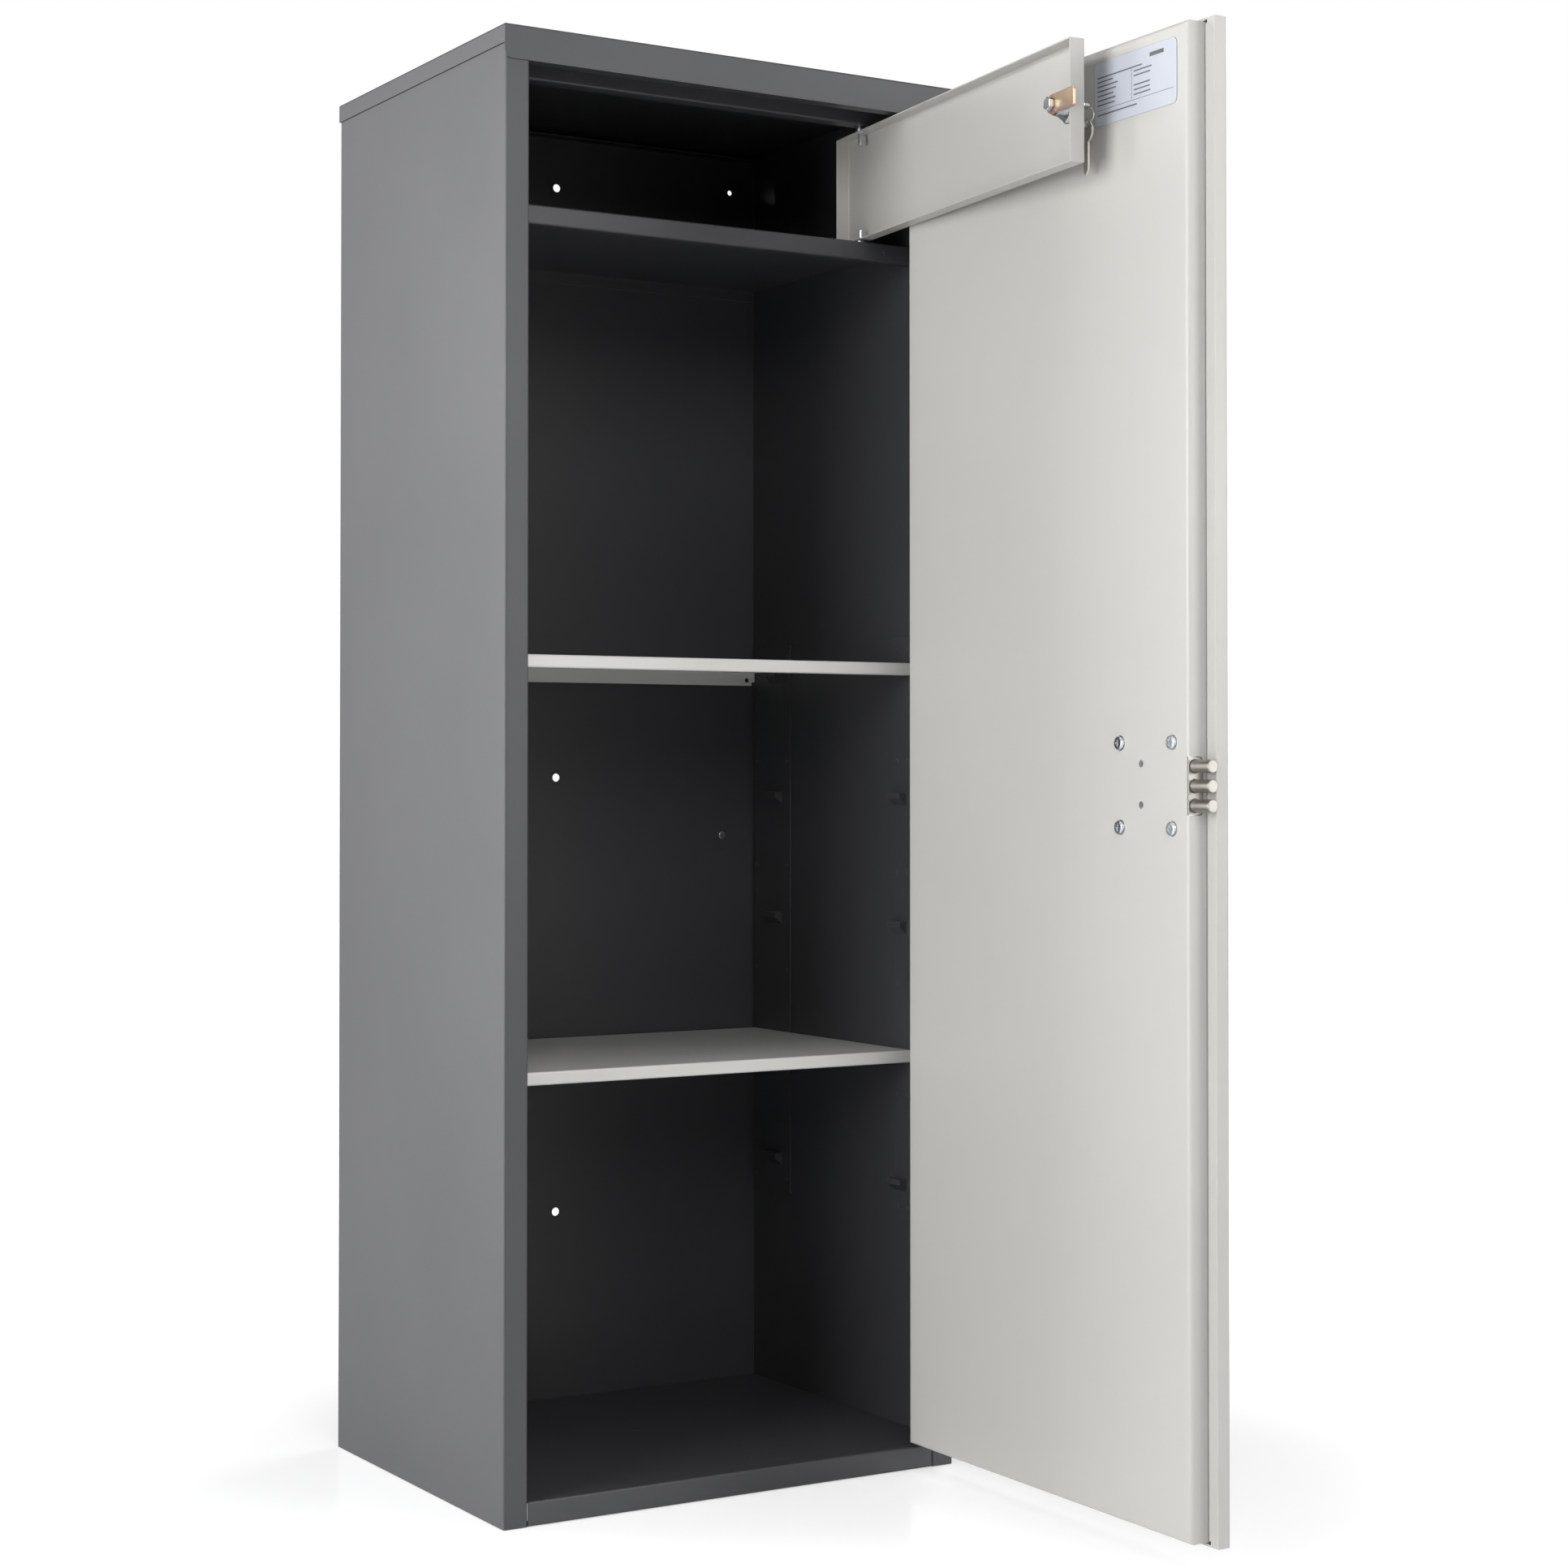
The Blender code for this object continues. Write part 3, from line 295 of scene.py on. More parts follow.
@dataclass(frozen=True)
class Finish:
    """One finish, built as a Principled material from the shared effects.

    Args:
        name: the material's name.
        slot: the record's slot it belongs to; not used.
        colour: main tint.
        second: tint of its cloudy patches.
        worn: tint at its edges.
        roughness: lowest roughness.
        smudge: how much handling roughens it.
        metallic: 1 for bare or plated metal.
        coat: weight of the clear gloss over a paint.
        relief: depth of its surface texture, in metres.
        drawn: True for drawn grain, False for orange peel.
    """

    name: str
    slot: Slot
    colour: Colour
    second: Colour
    worn: Colour
    roughness: float
    smudge: float
    metallic: float
    coat: float
    relief: float
    drawn: bool

    def build(self, effects: Effects) -> bpy.types.Material:
        """Make the material.

        Args:
            effects: the shared node groups.

        Returns:
            The material.
        """
        made = bpy.data.materials.new(self.name)
        made.use_nodes = True
        tree = made.node_tree
        shader = tree.nodes["Principled BSDF"]
        shader.inputs["Metallic"].default_value = self.metallic
        shader.inputs["Coat Weight"].default_value = self.coat
        shader.inputs["Coat Roughness"].default_value = COAT_ROUGHNESS
        edges = placed_group(tree, effects.edges)
        self._tint(tree, shader, effects, edges)
        self._gloss(tree, shader, effects)
        self._texture(tree, shader, effects, edges)
        return made

    def _tint(
        self, tree: bpy.types.NodeTree, shader: bpy.types.Node, effects: Effects,
        edges: bpy.types.Node,
    ) -> None:
        """Mix the two tints and the worn edges into the base colour.

        Args:
            tree: the material's nodes.
            shader: its Principled shader.
            effects: the shared node groups.
            edges: the material's edge group.
        """
        tint = placed_group(tree, effects.tarnish)
        tint.inputs["Scale"].default_value = PLATE_CLOUDS if self.metallic else PAINT_CLOUDS
        tint.inputs["Tint A"].default_value = (*self.colour, 1.0)
        tint.inputs["Tint B"].default_value = (*self.second, 1.0)
        mix = tree.nodes.new("ShaderNodeMix")
        mix.data_type = "RGBA"
        tree.links.new(edges.outputs["Mask"], mix.inputs["Factor"])
        tree.links.new(tint.outputs["Colour"], mix.inputs[MIX_A])
        mix.inputs[MIX_B].default_value = (*self.worn, 1.0)
        tree.links.new(mix.outputs[MIX_RESULT], shader.inputs["Base Color"])

    def _gloss(
        self, tree: bpy.types.NodeTree, shader: bpy.types.Node, effects: Effects
    ) -> None:
        """Roughen the finish where it was handled.

        Args:
            tree: the material's nodes.
            shader: its Principled shader.
            effects: the shared node groups.
        """
        wear = placed_group(tree, effects.handling)
        rough = tree.nodes.new("ShaderNodeMath")
        rough.operation = "MULTIPLY_ADD"
        tree.links.new(wear.outputs["Smudge"], rough.inputs[0])
        rough.inputs[1].default_value = self.smudge
        rough.inputs[2].default_value = self.roughness
        tree.links.new(rough.outputs["Value"], shader.inputs["Roughness"])

    def _texture(
        self, tree: bpy.types.NodeTree, shader: bpy.types.Node, effects: Effects,
        edges: bpy.types.Node,
    ) -> None:
        """Add orange peel or drawn grain over the rounded edges.

        Args:
            tree: the material's nodes.
            shader: its Principled shader.
            effects: the shared node groups.
            edges: the material's edge group.
        """
        texture = placed_group(tree, effects.grain if self.drawn else effects.peel)
        bump = tree.nodes.new("ShaderNodeBump")
        bump.inputs["Distance"].default_value = self.relief
        bump.inputs["Strength"].default_value = 1.0
        tree.links.new(texture.outputs["Height"], bump.inputs["Height"])
        tree.links.new(edges.outputs["Normal"], bump.inputs["Normal"])
        tree.links.new(bump.outputs["Normal"], shader.inputs["Normal"])


GRAPHITE = Finish(
    "graphite_powder_coat", Slot.BODY, (0.052, 0.0535, 0.0575), (0.048, 0.0495, 0.053),
    (0.085, 0.087, 0.092), 0.40, 0.06, 0.0, 0.10, 0.00007, False,
)
LIGHT_GREY = Finish(
    "light_grey_powder_coat", Slot.DOOR, (0.520, 0.512, 0.488), (0.506, 0.498, 0.474),
    (0.66, 0.655, 0.64), 0.36, 0.06, 0.0, 0.12, 0.00003, False,
)
# The shelves' coat is the door's light grey, made glossier and lighter in colour. The lighter colour
# is partly the shelves' own paler coat and partly painted highlight standing in for the sheen along
# the shelf lips.
SHELF_GREY_PAINTED_SHEEN = Finish(
    "shelf_coat_with_painted_sheen", Slot.DOOR, (0.74, 0.735, 0.715), (0.72, 0.715, 0.695),
    (0.84, 0.835, 0.82), 0.30, 0.06, 0.0, 0.45, 0.00003, False,
)
ZINC = Finish(
    "bright_zinc", Slot.ZINC, (0.72, 0.74, 0.76), (0.60, 0.63, 0.67), (0.85, 0.86, 0.87),
    0.22, 0.12, 1.0, 0.0, 0.000012, True,
)
NICKEL = Finish(
    "satin_nickel", Slot.NICKEL, (0.74, 0.71, 0.66), (0.66, 0.63, 0.58), (0.84, 0.82, 0.78),
    0.24, 0.10, 1.0, 0.0, 0.000010, True,
)
TURNED = Finish(
    "turned_steel", Slot.NICKEL, (0.44, 0.42, 0.39), (0.40, 0.375, 0.35), (0.58, 0.56, 0.53),
    0.40, 0.08, 1.0, 0.0, 0.000012, True,
)
CHROMATE = Finish(
    "yellow_chromate", Slot.CHROMATE, (0.66, 0.50, 0.33), (0.62, 0.42, 0.38),
    (0.78, 0.68, 0.50), 0.30, 0.10, 1.0, 0.0, 0.000010, True,
)
PAPER = Finish(
    "label_film", Slot.LABEL, (0.50, 0.53, 0.59), (0.485, 0.515, 0.575), (0.60, 0.63, 0.68),
    0.42, 0.05, 0.0, 0.10, 0.000006, False,
)
INK = Finish(
    "label_ink", Slot.LABEL, (0.11, 0.115, 0.13), (0.16, 0.165, 0.18), (0.16, 0.16, 0.18),
    0.50, 0.05, 0.0, 0.0, 0.000004, False,
)


class Palette:
    """Every finish's material, made once."""

    def __init__(self, effects: Effects) -> None:
        """Build the materials.

        Args:
            effects: the shared node groups.
        """
        finishes = (GRAPHITE, LIGHT_GREY, SHELF_GREY_PAINTED_SHEEN, ZINC, NICKEL, TURNED, CHROMATE, PAPER, INK)
        self.made = {finish.name: finish.build(effects) for finish in finishes}

    def of(self, finish: Finish) -> bpy.types.Material:
        """The material of a finish.

        Args:
            finish: the finish.

        Returns:
            Its material.
        """
        return self.made[finish.name]


# ---------------------------------------------------------------- shapes


@dataclass
class Shape:
    """A mesh being put together from several small forms.

    Args:
        work: the mesh under construction.
    """

    work: bmesh.types.BMesh = field(default_factory=bmesh.new)

    def slab(self, low: Place, high: Place, radius: float = 0.0) -> "Shape":
        """Add a block, with softened edges if a radius is given.

        Args:
            low: its lowest corner.
            high: its highest corner.
            radius: radius of its edges.

        Returns:
            This shape.
        """
        size = Vector(high) - Vector(low)
        middle = (Vector(high) + Vector(low)) / 2
        placed = Matrix.Translation(middle) @ Matrix.Diagonal((*size, 1.0))
        made = bmesh.ops.create_cube(self.work, size=1.0, matrix=placed)
        if radius > 0:
            edges = {edge for vert in made["verts"] for edge in vert.link_edges}
            bmesh.ops.bevel(
                self.work, geom=list(edges), offset=radius, segments=2, profile=0.5, affect="EDGES"
            )
        return self

    def lathe(self, centre: Place, axis: int, outline: list[tuple[float, float]]) -> "Shape":
        """Add a turned form.

        Args:
            centre: a point on its axis.
            axis: 0, 1 or 2 for X, Y or Z.
            outline: (distance along the axis, radius) pairs, closed back to the first.

        Returns:
            This shape.
        """
        sides = 40
        first, second = [other for other in range(3) if other != axis]
        rings = []
        for along, radius in outline:
            ring = []
            for step in range(sides):
                angle = 2 * math.pi * step / sides
                place = list(centre)
                place[axis] += along
                place[first] += radius * math.cos(angle)
                place[second] += radius * math.sin(angle)
                ring.append(self.work.verts.new(place))
            rings.append(ring)
        for ring, after in zip(rings, rings[1:] + rings[:1]):
            for step in range(sides):
                ahead = (step + 1) % sides
                self.work.faces.new((ring[step], ring[ahead], after[ahead], after[step]))
        return self

    def finish(self, name: str, placed: Matrix) -> bpy.types.Object:
        """Turn the shape into an object.

        Args:
            name: the object's name.
            placed: where it goes.

        Returns:
            The object.
        """
        bmesh.ops.recalc_face_normals(self.work, faces=self.work.faces)
        mesh = bpy.data.meshes.new(name)
        self.work.to_mesh(mesh)
        self.work.free()
        mesh.transform(placed)
        mesh.shade_smooth()
        mesh.set_sharp_from_angle(angle=math.radians(35))
        made = bpy.data.objects.new(name, mesh)
        bpy.context.scene.collection.objects.link(made)
        return made


@dataclass(frozen=True)
class Swing:
    """Where a door stands at rest: closed-door coordinates turned about its hinge.

    Args:
        joint: the record's joint.
        angle_deg: how far open the door stands at rest.
    """

    joint: str
    angle_deg: float

    def matrix(self) -> Matrix:
        """Closed-door coordinates to the row frame.

        Returns:
            The turn about the hinge.
        """
        pivots = {item["name"]: item.get("pos_m") for item in frame["joints"]}
        pivot = Vector(pivots[self.joint])
        turn = Matrix.Rotation(math.radians(self.angle_deg), 4, "Z")
        return Matrix.Translation(pivot) @ turn @ Matrix.Translation(-pivot)

    def closed_box(self, node: str) -> tuple[Vector, Vector]:
        """A node's box as it is with the door shut.

        Args:
            node: a CAD node.

        Returns:
            Its lowest and highest corners.
        """
        back = self.matrix().inverted()
        places = [back @ vert.co for vert in frame["nodes"][node].data.vertices]
        low = Vector(min(place[axis] for place in places) for axis in range(3))
        high = Vector(max(place[axis] for place in places) for axis in range(3))
        return low, high


OUTER_SWING = Swing("main_door_hinge", 89.2)
INNER_SWING = Swing("treasury_door_hinge", 83.9)


# ---------------------------------------------------------------- sub-assemblies


@dataclass
class SubAssembly:
    """A group of CAD nodes with one way of being dressed.

    Args:
        palette: the materials.
        body: the CAD body that its details ride on.
        coats: finish of each CAD node.
    """

    palette: Palette
    body: str
    coats: dict[str, Finish] = field(default_factory=dict)

    def dress(self) -> None:
        """Give every CAD node its finish."""
        for node, finish in self.coats.items():
            target = frame["nodes"][node]
            target.data.materials.clear()
            target.data.materials.append(self.palette.of(finish))
            LOG.info("%s: %s", node, finish.name)

    def add(self, shape: Shape, name: str, finish: Finish, placed: Matrix) -> bpy.types.Object:
        """Add a detail that rides on this sub-assembly's body.

        Args:
            shape: its form.
            name: its name.
            finish: its finish.
            placed: where it goes.

        Returns:
            The object.
        """
        made = shape.finish(name, placed)
        made.data.materials.append(self.palette.of(finish))
        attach(made, self.body)
        LOG.info("%s: detail on %s", name, self.body)
        return made

    def build(self) -> None:
        """Dress the nodes and add the details."""
        self.dress()
        self.details()

    def details(self) -> None:
        """Add detail geometry. A plain sub-assembly has none."""


@dataclass
class Shell(SubAssembly):
    """The cabinet's panels, lid, floor and fixed fittings.

    Args:
        spot_radius: radius of a spot weld's dimple.
        spot_height: how far it stands out.
        sheet: thickness of the cabinet's sheet.
        rail_rows: rows of welds down a rail.
        rail_end: distance of the first and last row from the rail's ends.
        edge_inset: distance of a weld from the edge beside it.
        flange_end: distance of the treasury flange's right weld from its end.
        hole_heights: heights of the wall-fixing holes on the middle line.
        rim_radii: inner and outer radius of a hole's rim at its foot.
        rim_top: inner and outer radius at its crest.
        rim_height: how far it stands out.
    """

    spot_radius: float = 0.0024
    spot_height: float = 0.00025
    sheet: float = 0.0012
    rail_rows: int = 6
    rail_end: float = 0.012
    edge_inset: float = 0.006
    flange_end: float = 0.030
    hole_heights: tuple[float, ...] = (0.200, 0.621, 1.196)
    rim_radii: tuple[float, float] = (0.0041, 0.0058)
    rim_top: tuple[float, float] = (0.0044, 0.0054)
    rim_height: float = 0.0003

    def details(self) -> None:
        """Spot welds on the shelf rails and treasury shelf, and rims round the wall holes."""
        for node, side in (
            ("front_left_shelf_rail", 1), ("rear_left_shelf_rail", 1),
            ("front_right_shelf_rail", -1), ("rear_right_shelf_rail", -1),
        ):
            self._rail_spots(node, side)
        self._flange_spots()
        self._hole_rims()

    def _spot(self, shape: Shape, centre: Place, axis: int, way: int) -> None:
        """Add one shallow weld dimple.

        Args:
            shape: the shape to add to.
            centre: where it stands on its sheet.
            axis: the sheet's normal axis.
            way: 1 or -1, the side it stands on.
        """
        rise = self.spot_height * way
        radius = self.spot_radius
        shape.lathe(
            centre, axis,
            [(0.0, radius), (rise * 0.7, radius * 0.86), (rise, radius * 0.55), (rise * 0.6, 0.0003),
             (0.0, 0.0003)],
        )

    def _rail_spots(self, node: str, side: int) -> None:
        """Welds down a rail, between its lugs.

        Args:
            node: the rail.
            side: 1 for a rail on the left wall, -1 for the right.
        """
        low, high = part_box(node)
        face = low.x + self.sheet if side > 0 else high.x - self.sheet
        run = high.z - low.z - 2 * self.rail_end
        shape = Shape()
        for step in range(self.rail_rows):
            height = low.z + self.rail_end + run * step / (self.rail_rows - 1)
            for depth in (low.y + self.edge_inset, high.y - self.edge_inset):
                self._spot(shape, (face, depth, height), 0, side)
        self.add(shape, node + "_welds", GRAPHITE, Matrix())

    def _flange_spots(self) -> None:
        """Welds at both ends of the treasury shelf's flange."""
        low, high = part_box("treasury_shelf")
        shape = Shape()
        for across in (low.x + self.edge_inset, high.x - self.flange_end):
            self._spot(shape, (across, low.y, (low.z + high.z) / 2), 1, -1)
        self.add(shape, "treasury_shelf_welds", GRAPHITE, Matrix())

    def _hole_rims(self) -> None:
        """Raised rims round the wall-fixing holes."""
        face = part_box("back_panel")[1].y - self.sheet
        inner, outer = self.rim_radii
        inner_top, outer_top = self.rim_top
        crest = -self.rim_height
        rim = [(0.0, inner), (0.0, outer), (crest, outer_top), (crest, inner_top)]
        shape = Shape()
        for height in self.hole_heights:
            shape.lathe((0.0, face, height), 1, rim)
        self.add(shape, "wall_hole_rims", GRAPHITE, Matrix())


@dataclass
class DoorLabel(SubAssembly):
    """The plain printed label: ruled lines and grey bars, with no lettering.

    Args:
        rise: thickness of the print.
    """

    rise: float = 0.00006

    def details(self) -> None:
        """Print the bars and rules, each as (right, top, length, height)."""
        low, high = OUTER_SWING.closed_box("label_plate")
        width = high.x - low.x
        margin, tall, rule = 0.004, 0.0011, 0.00035
        second_column = margin + 0.048
        bars = [
            (margin, 0.0125, width * 0.55, tall),
            (width * 0.68, 0.0060, 0.018, 0.0032),
            (margin, 0.0395, width - 2 * margin, rule),
            (second_column - 0.003, 0.0135, rule, 0.0250),
        ]
        chance = random.Random(7)
        for step in range(6):
            top = 0.0160 + 0.0038 * step
            bars.append((margin, top, 0.014 + 0.020 * chance.random(), tall))
            if step != 2:
                bars.append((second_column, top, 0.020 + 0.022 * chance.random(), tall))
        bars.append((margin, 0.0430, 0.052, 0.0012))
        shape = Shape()
        for bar in bars:
            self._bar(shape, high, *bar)
        self.add(shape, "label_print", INK, OUTER_SWING.matrix())

    def _bar(
        self, shape: Shape, corner: Vector, right: float, top: float, length: float, tall: float
    ) -> None:
        """Print one bar.

        Args:
            shape: the print.
            corner: the label's highest corner, at its upper right as seen from inside.
            right: distance of the bar's end from that corner, sideways.
            top: distance of its upper edge from that corner, downwards.
            length: its length.
            tall: its height.
        """
        start = corner.x - right
        roof = corner.z - top
        shape.slab(
            (start - length, corner.y, roof - tall), (start, corner.y + self.rise, roof)
        )


@dataclass
class OuterLock(SubAssembly):
    """The outer door's lock, with its screws' washers.

    Args:
        washer_bore: radius of a washer's hole.
        washer_radius: its outer radius.
        washer_thickness: its thickness.
        washer_bevel: how far its edge is broken.
    """

    washer_bore: float = 0.0030
    washer_radius: float = 0.0062
    washer_thickness: float = 0.0002
    washer_bevel: float = 0.0002

    def details(self) -> None:
        """Add a washer under each screw."""
        for number in range(1, 5):
            low, high = OUTER_SWING.closed_box("lock_screw_%d" % number)
            centre = ((low.x + high.x) / 2, 0.0, (low.z + high.z) / 2)
            face = OUTER_SWING.closed_box("door_inner_pan")[1].y
            top = face + self.washer_thickness
            ring = [
                (face, self.washer_bore), (face, self.washer_radius),
                (top, self.washer_radius - self.washer_bevel), (top, self.washer_bore),
            ]
            self.add(
                Shape().lathe(centre, 1, ring), "screw_washer_%d" % number, ZINC,
                OUTER_SWING.matrix(),
            )


@dataclass
class InnerLock(SubAssembly):
    """The treasury door's cam lock, with its thread and washer.

    Args:
        pitch: distance between the thread's ridges.
        ridge: a ridge's width at its root.
        root: radius of the thread's root.
        crest: radius of its crest.
        clear: plain length left at each end of the thread.
        washer_bore: radius of the washer's hole.
        washer_radius: its outer radius.
        washer_thickness: its thickness.
        washer_bevel: how far its edge is broken.
    """

    pitch: float = 0.0010
    ridge: float = 0.0006
    root: float = 0.0089
    crest: float = 0.0094
    clear: float = 0.0006
    washer_bore: float = 0.0095
    washer_radius: float = 0.0146
    washer_thickness: float = 0.0003
    washer_bevel: float = 0.0002

    def details(self) -> None:
        """Add the thread on the body and a washer under the nut."""
        low, high = INNER_SWING.closed_box("cam_lock_body")
        nut_low, nut_high = INNER_SWING.closed_box("cam_lock_nut")
        centre = ((low.x + high.x) / 2, 0.0, (low.z + high.z) / 2)
        shape = Shape()
        start = nut_high.y + self.clear
        ridges = int((high.y - self.clear - start) / self.pitch)
        for step in range(ridges):
            along = start + self.pitch * step
            middle, end = along + self.ridge / 2, along + self.ridge
            shape.lathe(centre, 1, [(along, self.root), (middle, self.crest), (end, self.root)])
        self.add(shape, "cam_lock_thread", ZINC, INNER_SWING.matrix())
        seat = nut_low.y
        back = seat - self.washer_thickness
        washer = [
            (back, self.washer_bore), (back, self.washer_radius),
            (seat, self.washer_radius - self.washer_bevel), (seat, self.washer_bore),
        ]
        self.add(
            Shape().lathe(centre, 1, washer), "cam_lock_washer", ZINC, INNER_SWING.matrix()
        )


# ---------------------------------------------------------------- studio


@dataclass(frozen=True)
class SoftLight:
    """A large soft light aimed at a point.

    Args:
        name: the light's name.
        place: where it stands.
        aim: what it points at.
        size: its width and height.
        power: its power in watts.
    """

    name: str
    place: Place
    aim: Place
    size: tuple[float, float]
    power: float

    def build(self) -> None:
        """Put the light in the scene."""
        data = bpy.data.lights.new(self.name, "AREA")
        data.shape = "RECTANGLE"
        data.size, data.size_y = self.size
        data.energy = self.power
        made = bpy.data.objects.new(self.name, data)
        bpy.context.scene.collection.objects.link(made)
        made.location = self.place
        way = Vector(self.aim) - Vector(self.place)
        made.rotation_euler = way.to_track_quat("-Z", "Y").to_euler()
        made.visible_camera = False


@dataclass(frozen=True)
class Studio:
    """Pale floor, white surround, soft lights and the camera.

    Args:
        lens: focal length in millimetres.
        place: where the camera stands.
        yaw_deg: turn to the right of +Y.
        pitch_deg: tilt above the horizon.
        shift: sideways and upward shift of the view.
        glow: the floor's own light to the camera: near distance, far distance, its level at each;
            the lower level near the cabinet is painted shade round its base.
        lights: the soft lights.
    """

    lens: float = 66.43
    place: Place = (-1.2786, -2.3414, 0.6250)
    yaw_deg: float = 31.205
    pitch_deg: float = 0.944
    shift: tuple[float, float] = (0.0079, -0.0371)
    glow: tuple[float, float, float, float] = (0.40, 1.2, 0.42, 1.0)
    lights: tuple[SoftLight, ...] = (
        SoftLight("key", (-1.2, -3.6, 2.3), (0.0, -0.1, 0.8), (2.2, 1.6), 40.0),
        SoftLight("front_right", (2.2, -3.4, 1.4), (0.0, -0.3, 0.7), (2.0, 2.2), 62.0),
        SoftLight("side", (-3.2, -0.9, 1.2), (0.2, -0.3, 0.6), (1.8, 2.2), 94.0),
        SoftLight("rear_left", (-2.6, 2.3, 1.1), (-0.2, 0.0, 0.6), (2.2, 2.4), 78.0),
        SoftLight("top", (0.2, -0.9, 3.4), (0.1, -0.5, 0.6), (2.6, 1.6), 30.0),
        SoftLight("rear_right", (3.2, 1.1, 1.5), (0.2, -0.1, 0.6), (2.0, 2.2), 46.0),
    )

    def build(self) -> None:
        """Build everything that isn't part of the object."""
        self._floor()
        self._surround()
        for light in self.lights:
            light.build()
        self._camera()
        bpy.context.scene.view_settings.view_transform = "Standard"

    def _floor(self) -> None:
        """A wide glossy pale floor, lit by the lights and glowing white to the camera, with less
        glow close to the cabinet: painted shade round its base on top of the real contact shadow.
        """
        shape = Shape().slab((-9.0, -9.0, -0.02), (9.0, 9.0, -0.0005))
        made = shape.finish("studio_floor", Matrix())
        material = bpy.data.materials.new("pale_floor")
        material.use_nodes = True
        shader = material.node_tree.nodes["Principled BSDF"]
        shader.inputs["Base Color"].default_value = (0.93, 0.935, 0.94, 1.0)
        shader.inputs["Roughness"].default_value = 0.16
        shader.inputs["Emission Color"].default_value = (1.0, 1.0, 1.0, 1.0)
        nodes, links = material.node_tree.nodes, material.node_tree.links
        path = nodes.new("ShaderNodeLightPath")
        place = nodes.new("ShaderNodeNewGeometry")
        away = nodes.new("ShaderNodeVectorMath")
        away.operation = "DISTANCE"
        away.inputs[1].default_value = (0.0, -0.2, 0.0)
        # The glow is turned down near the cabinet: painted shade round its base, added to the
        # lights' real contact shadow.
        base_shade_fade = nodes.new("ShaderNodeMapRange")
        base_shade_fade.interpolation_type = "SMOOTHSTEP"
        for name, value in zip(("From Min", "From Max", "To Min", "To Max"), self.glow):
            base_shade_fade.inputs[name].default_value = value
        level = nodes.new("ShaderNodeMath")
        level.operation = "MULTIPLY"
        links.new(place.outputs["Position"], away.inputs[0])
        links.new(away.outputs["Value"], base_shade_fade.inputs["Value"])
        links.new(path.outputs["Is Camera Ray"], level.inputs[0])
        links.new(base_shade_fade.outputs["Result"], level.inputs[1])
        links.new(level.outputs["Value"], shader.inputs["Emission Strength"])
        made.data.materials.append(material)

    def _surround(self) -> None:
        """White to the camera, softer as a light."""
        world = bpy.data.worlds.new("surround")
        world.use_nodes = True
        tree = world.node_tree
        back = tree.nodes["Background"]
        back.inputs["Color"].default_value = (1.0, 1.0, 1.0, 1.0)
        path = tree.nodes.new("ShaderNodeLightPath")
        level = tree.nodes.new("ShaderNodeMapRange")
        level.inputs["To Min"].default_value = 0.06
        level.inputs["To Max"].default_value = 1.0
        tree.links.new(path.outputs["Is Camera Ray"], level.inputs["Value"])
        tree.links.new(level.outputs["Result"], back.inputs["Strength"])
        bpy.context.scene.world = world

    def _camera(self) -> None:
        """The main camera."""
        data = bpy.data.cameras.new("main_camera")
        data.lens = self.lens
        data.sensor_width = 36.0
        data.shift_x, data.shift_y = self.shift
        data.dof.use_dof = False
        data.clip_start, data.clip_end = 0.05, 60.0
        made = bpy.data.objects.new("main_camera", data)
        bpy.context.scene.collection.objects.link(made)
        made.location = self.place
        made.rotation_euler = (math.radians(90 + self.pitch_deg), 0.0, -math.radians(self.yaw_deg))
        bpy.context.scene.camera = made


# ---------------------------------------------------------------- the whole cabinet


def coats(finish: Finish, *nodes: str) -> dict[str, Finish]:
    """The same finish for several nodes.

    Args:
        finish: the finish.
        *nodes: CAD nodes.

    Returns:
        Node name to finish.
    """
    return dict.fromkeys(nodes, finish)


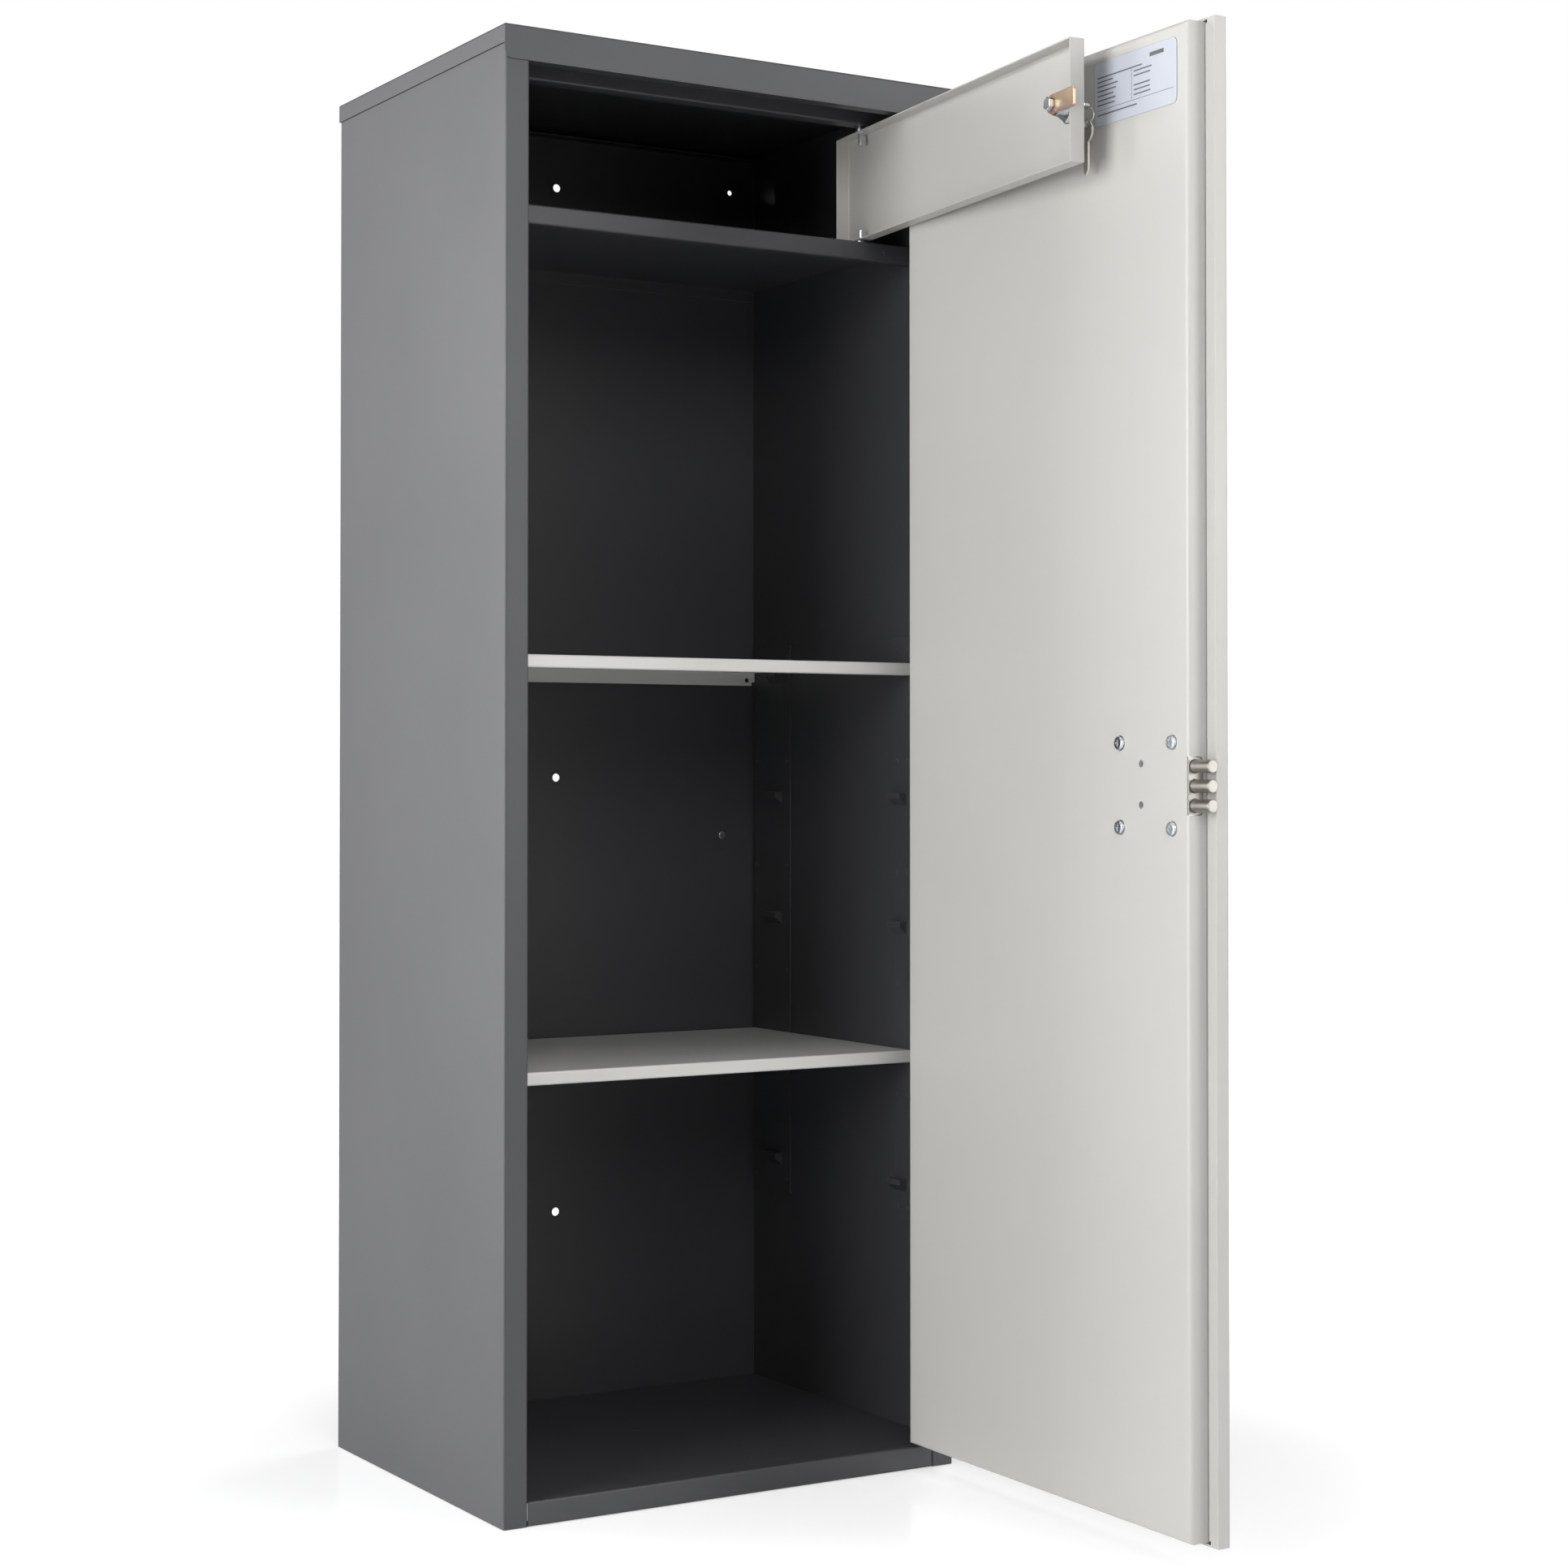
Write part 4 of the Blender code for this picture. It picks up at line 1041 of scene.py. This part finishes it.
def assemblies(palette: Palette) -> list[SubAssembly]:
    """Every sub-assembly.

    Args:
        palette: the materials.

    Returns:
        The sub-assemblies, ready to build.
    """
    shell = coats(
        GRAPHITE, "top_lid", "left_side_panel", "right_side_panel", "back_panel", "floor_pan",
        "floor_stiffener", "treasury_top_rail", "treasury_shelf", "treasury_catch",
        "front_left_shelf_rail", "front_right_shelf_rail", "rear_left_shelf_rail",
        "rear_right_shelf_rail",
    )
    shell |= coats(
        ZINC, "back_rivet", "treasury_pin_upper", "treasury_pin_lower", "strike_plate",
        "lower_hinge_frame_leaf", "upper_hinge_frame_leaf", "lower_hinge_pin", "upper_hinge_pin",
    )
    lock = coats(
        ZINC, "lock_case", "lock_screw_1", "lock_screw_2", "lock_screw_3", "lock_screw_4",
        "lower_hinge_door_leaf", "upper_hinge_door_leaf",
    )
    lock |= coats(TURNED, "lock_forend") | coats(NICKEL, "lock_escutcheon")
    bolts = coats(TURNED, "lock_bolt_1", "lock_bolt_2", "lock_bolt_3") | coats(ZINC, "bolt_carrier")
    inner = coats(ZINC, "cam_lock_body", "cam_lock_nut")
    keys = coats(NICKEL, "treasury_plug", "treasury_key") | coats(ZINC, "cam_screw")
    keys |= coats(CHROMATE, "treasury_cam")
    return [
        Shell(palette, "cabinet", shell),
        SubAssembly(palette, "shelf_upper", coats(SHELF_GREY_PAINTED_SHEEN, "upper_shelf")),
        SubAssembly(palette, "shelf_lower", coats(SHELF_GREY_PAINTED_SHEEN, "lower_shelf")),
        SubAssembly(palette, "main_door", coats(LIGHT_GREY, "door_skin", "door_inner_pan")),
        DoorLabel(palette, "main_door", coats(PAPER, "label_plate")),
        OuterLock(palette, "main_door", lock),
        SubAssembly(palette, "lock_bolts", bolts),
        SubAssembly(palette, "main_lock_plug", coats(NICKEL, "lock_plug")),
        SubAssembly(palette, "treasury_door", coats(LIGHT_GREY, "treasury_door")),
        InnerLock(palette, "treasury_door", inner),
        SubAssembly(palette, "treasury_key", keys),
        SubAssembly(palette, "key_ring", coats(NICKEL, "key_ring")),
        SubAssembly(palette, "spare_key", coats(NICKEL, "spare_key")),
    ]


def main() -> None:
    """Dress the cabinet and set the studio."""
    palette = Palette(Effects())
    for assembly in assemblies(palette):
        assembly.build()
    Studio().build()


if __name__ == "__main__":
    main()
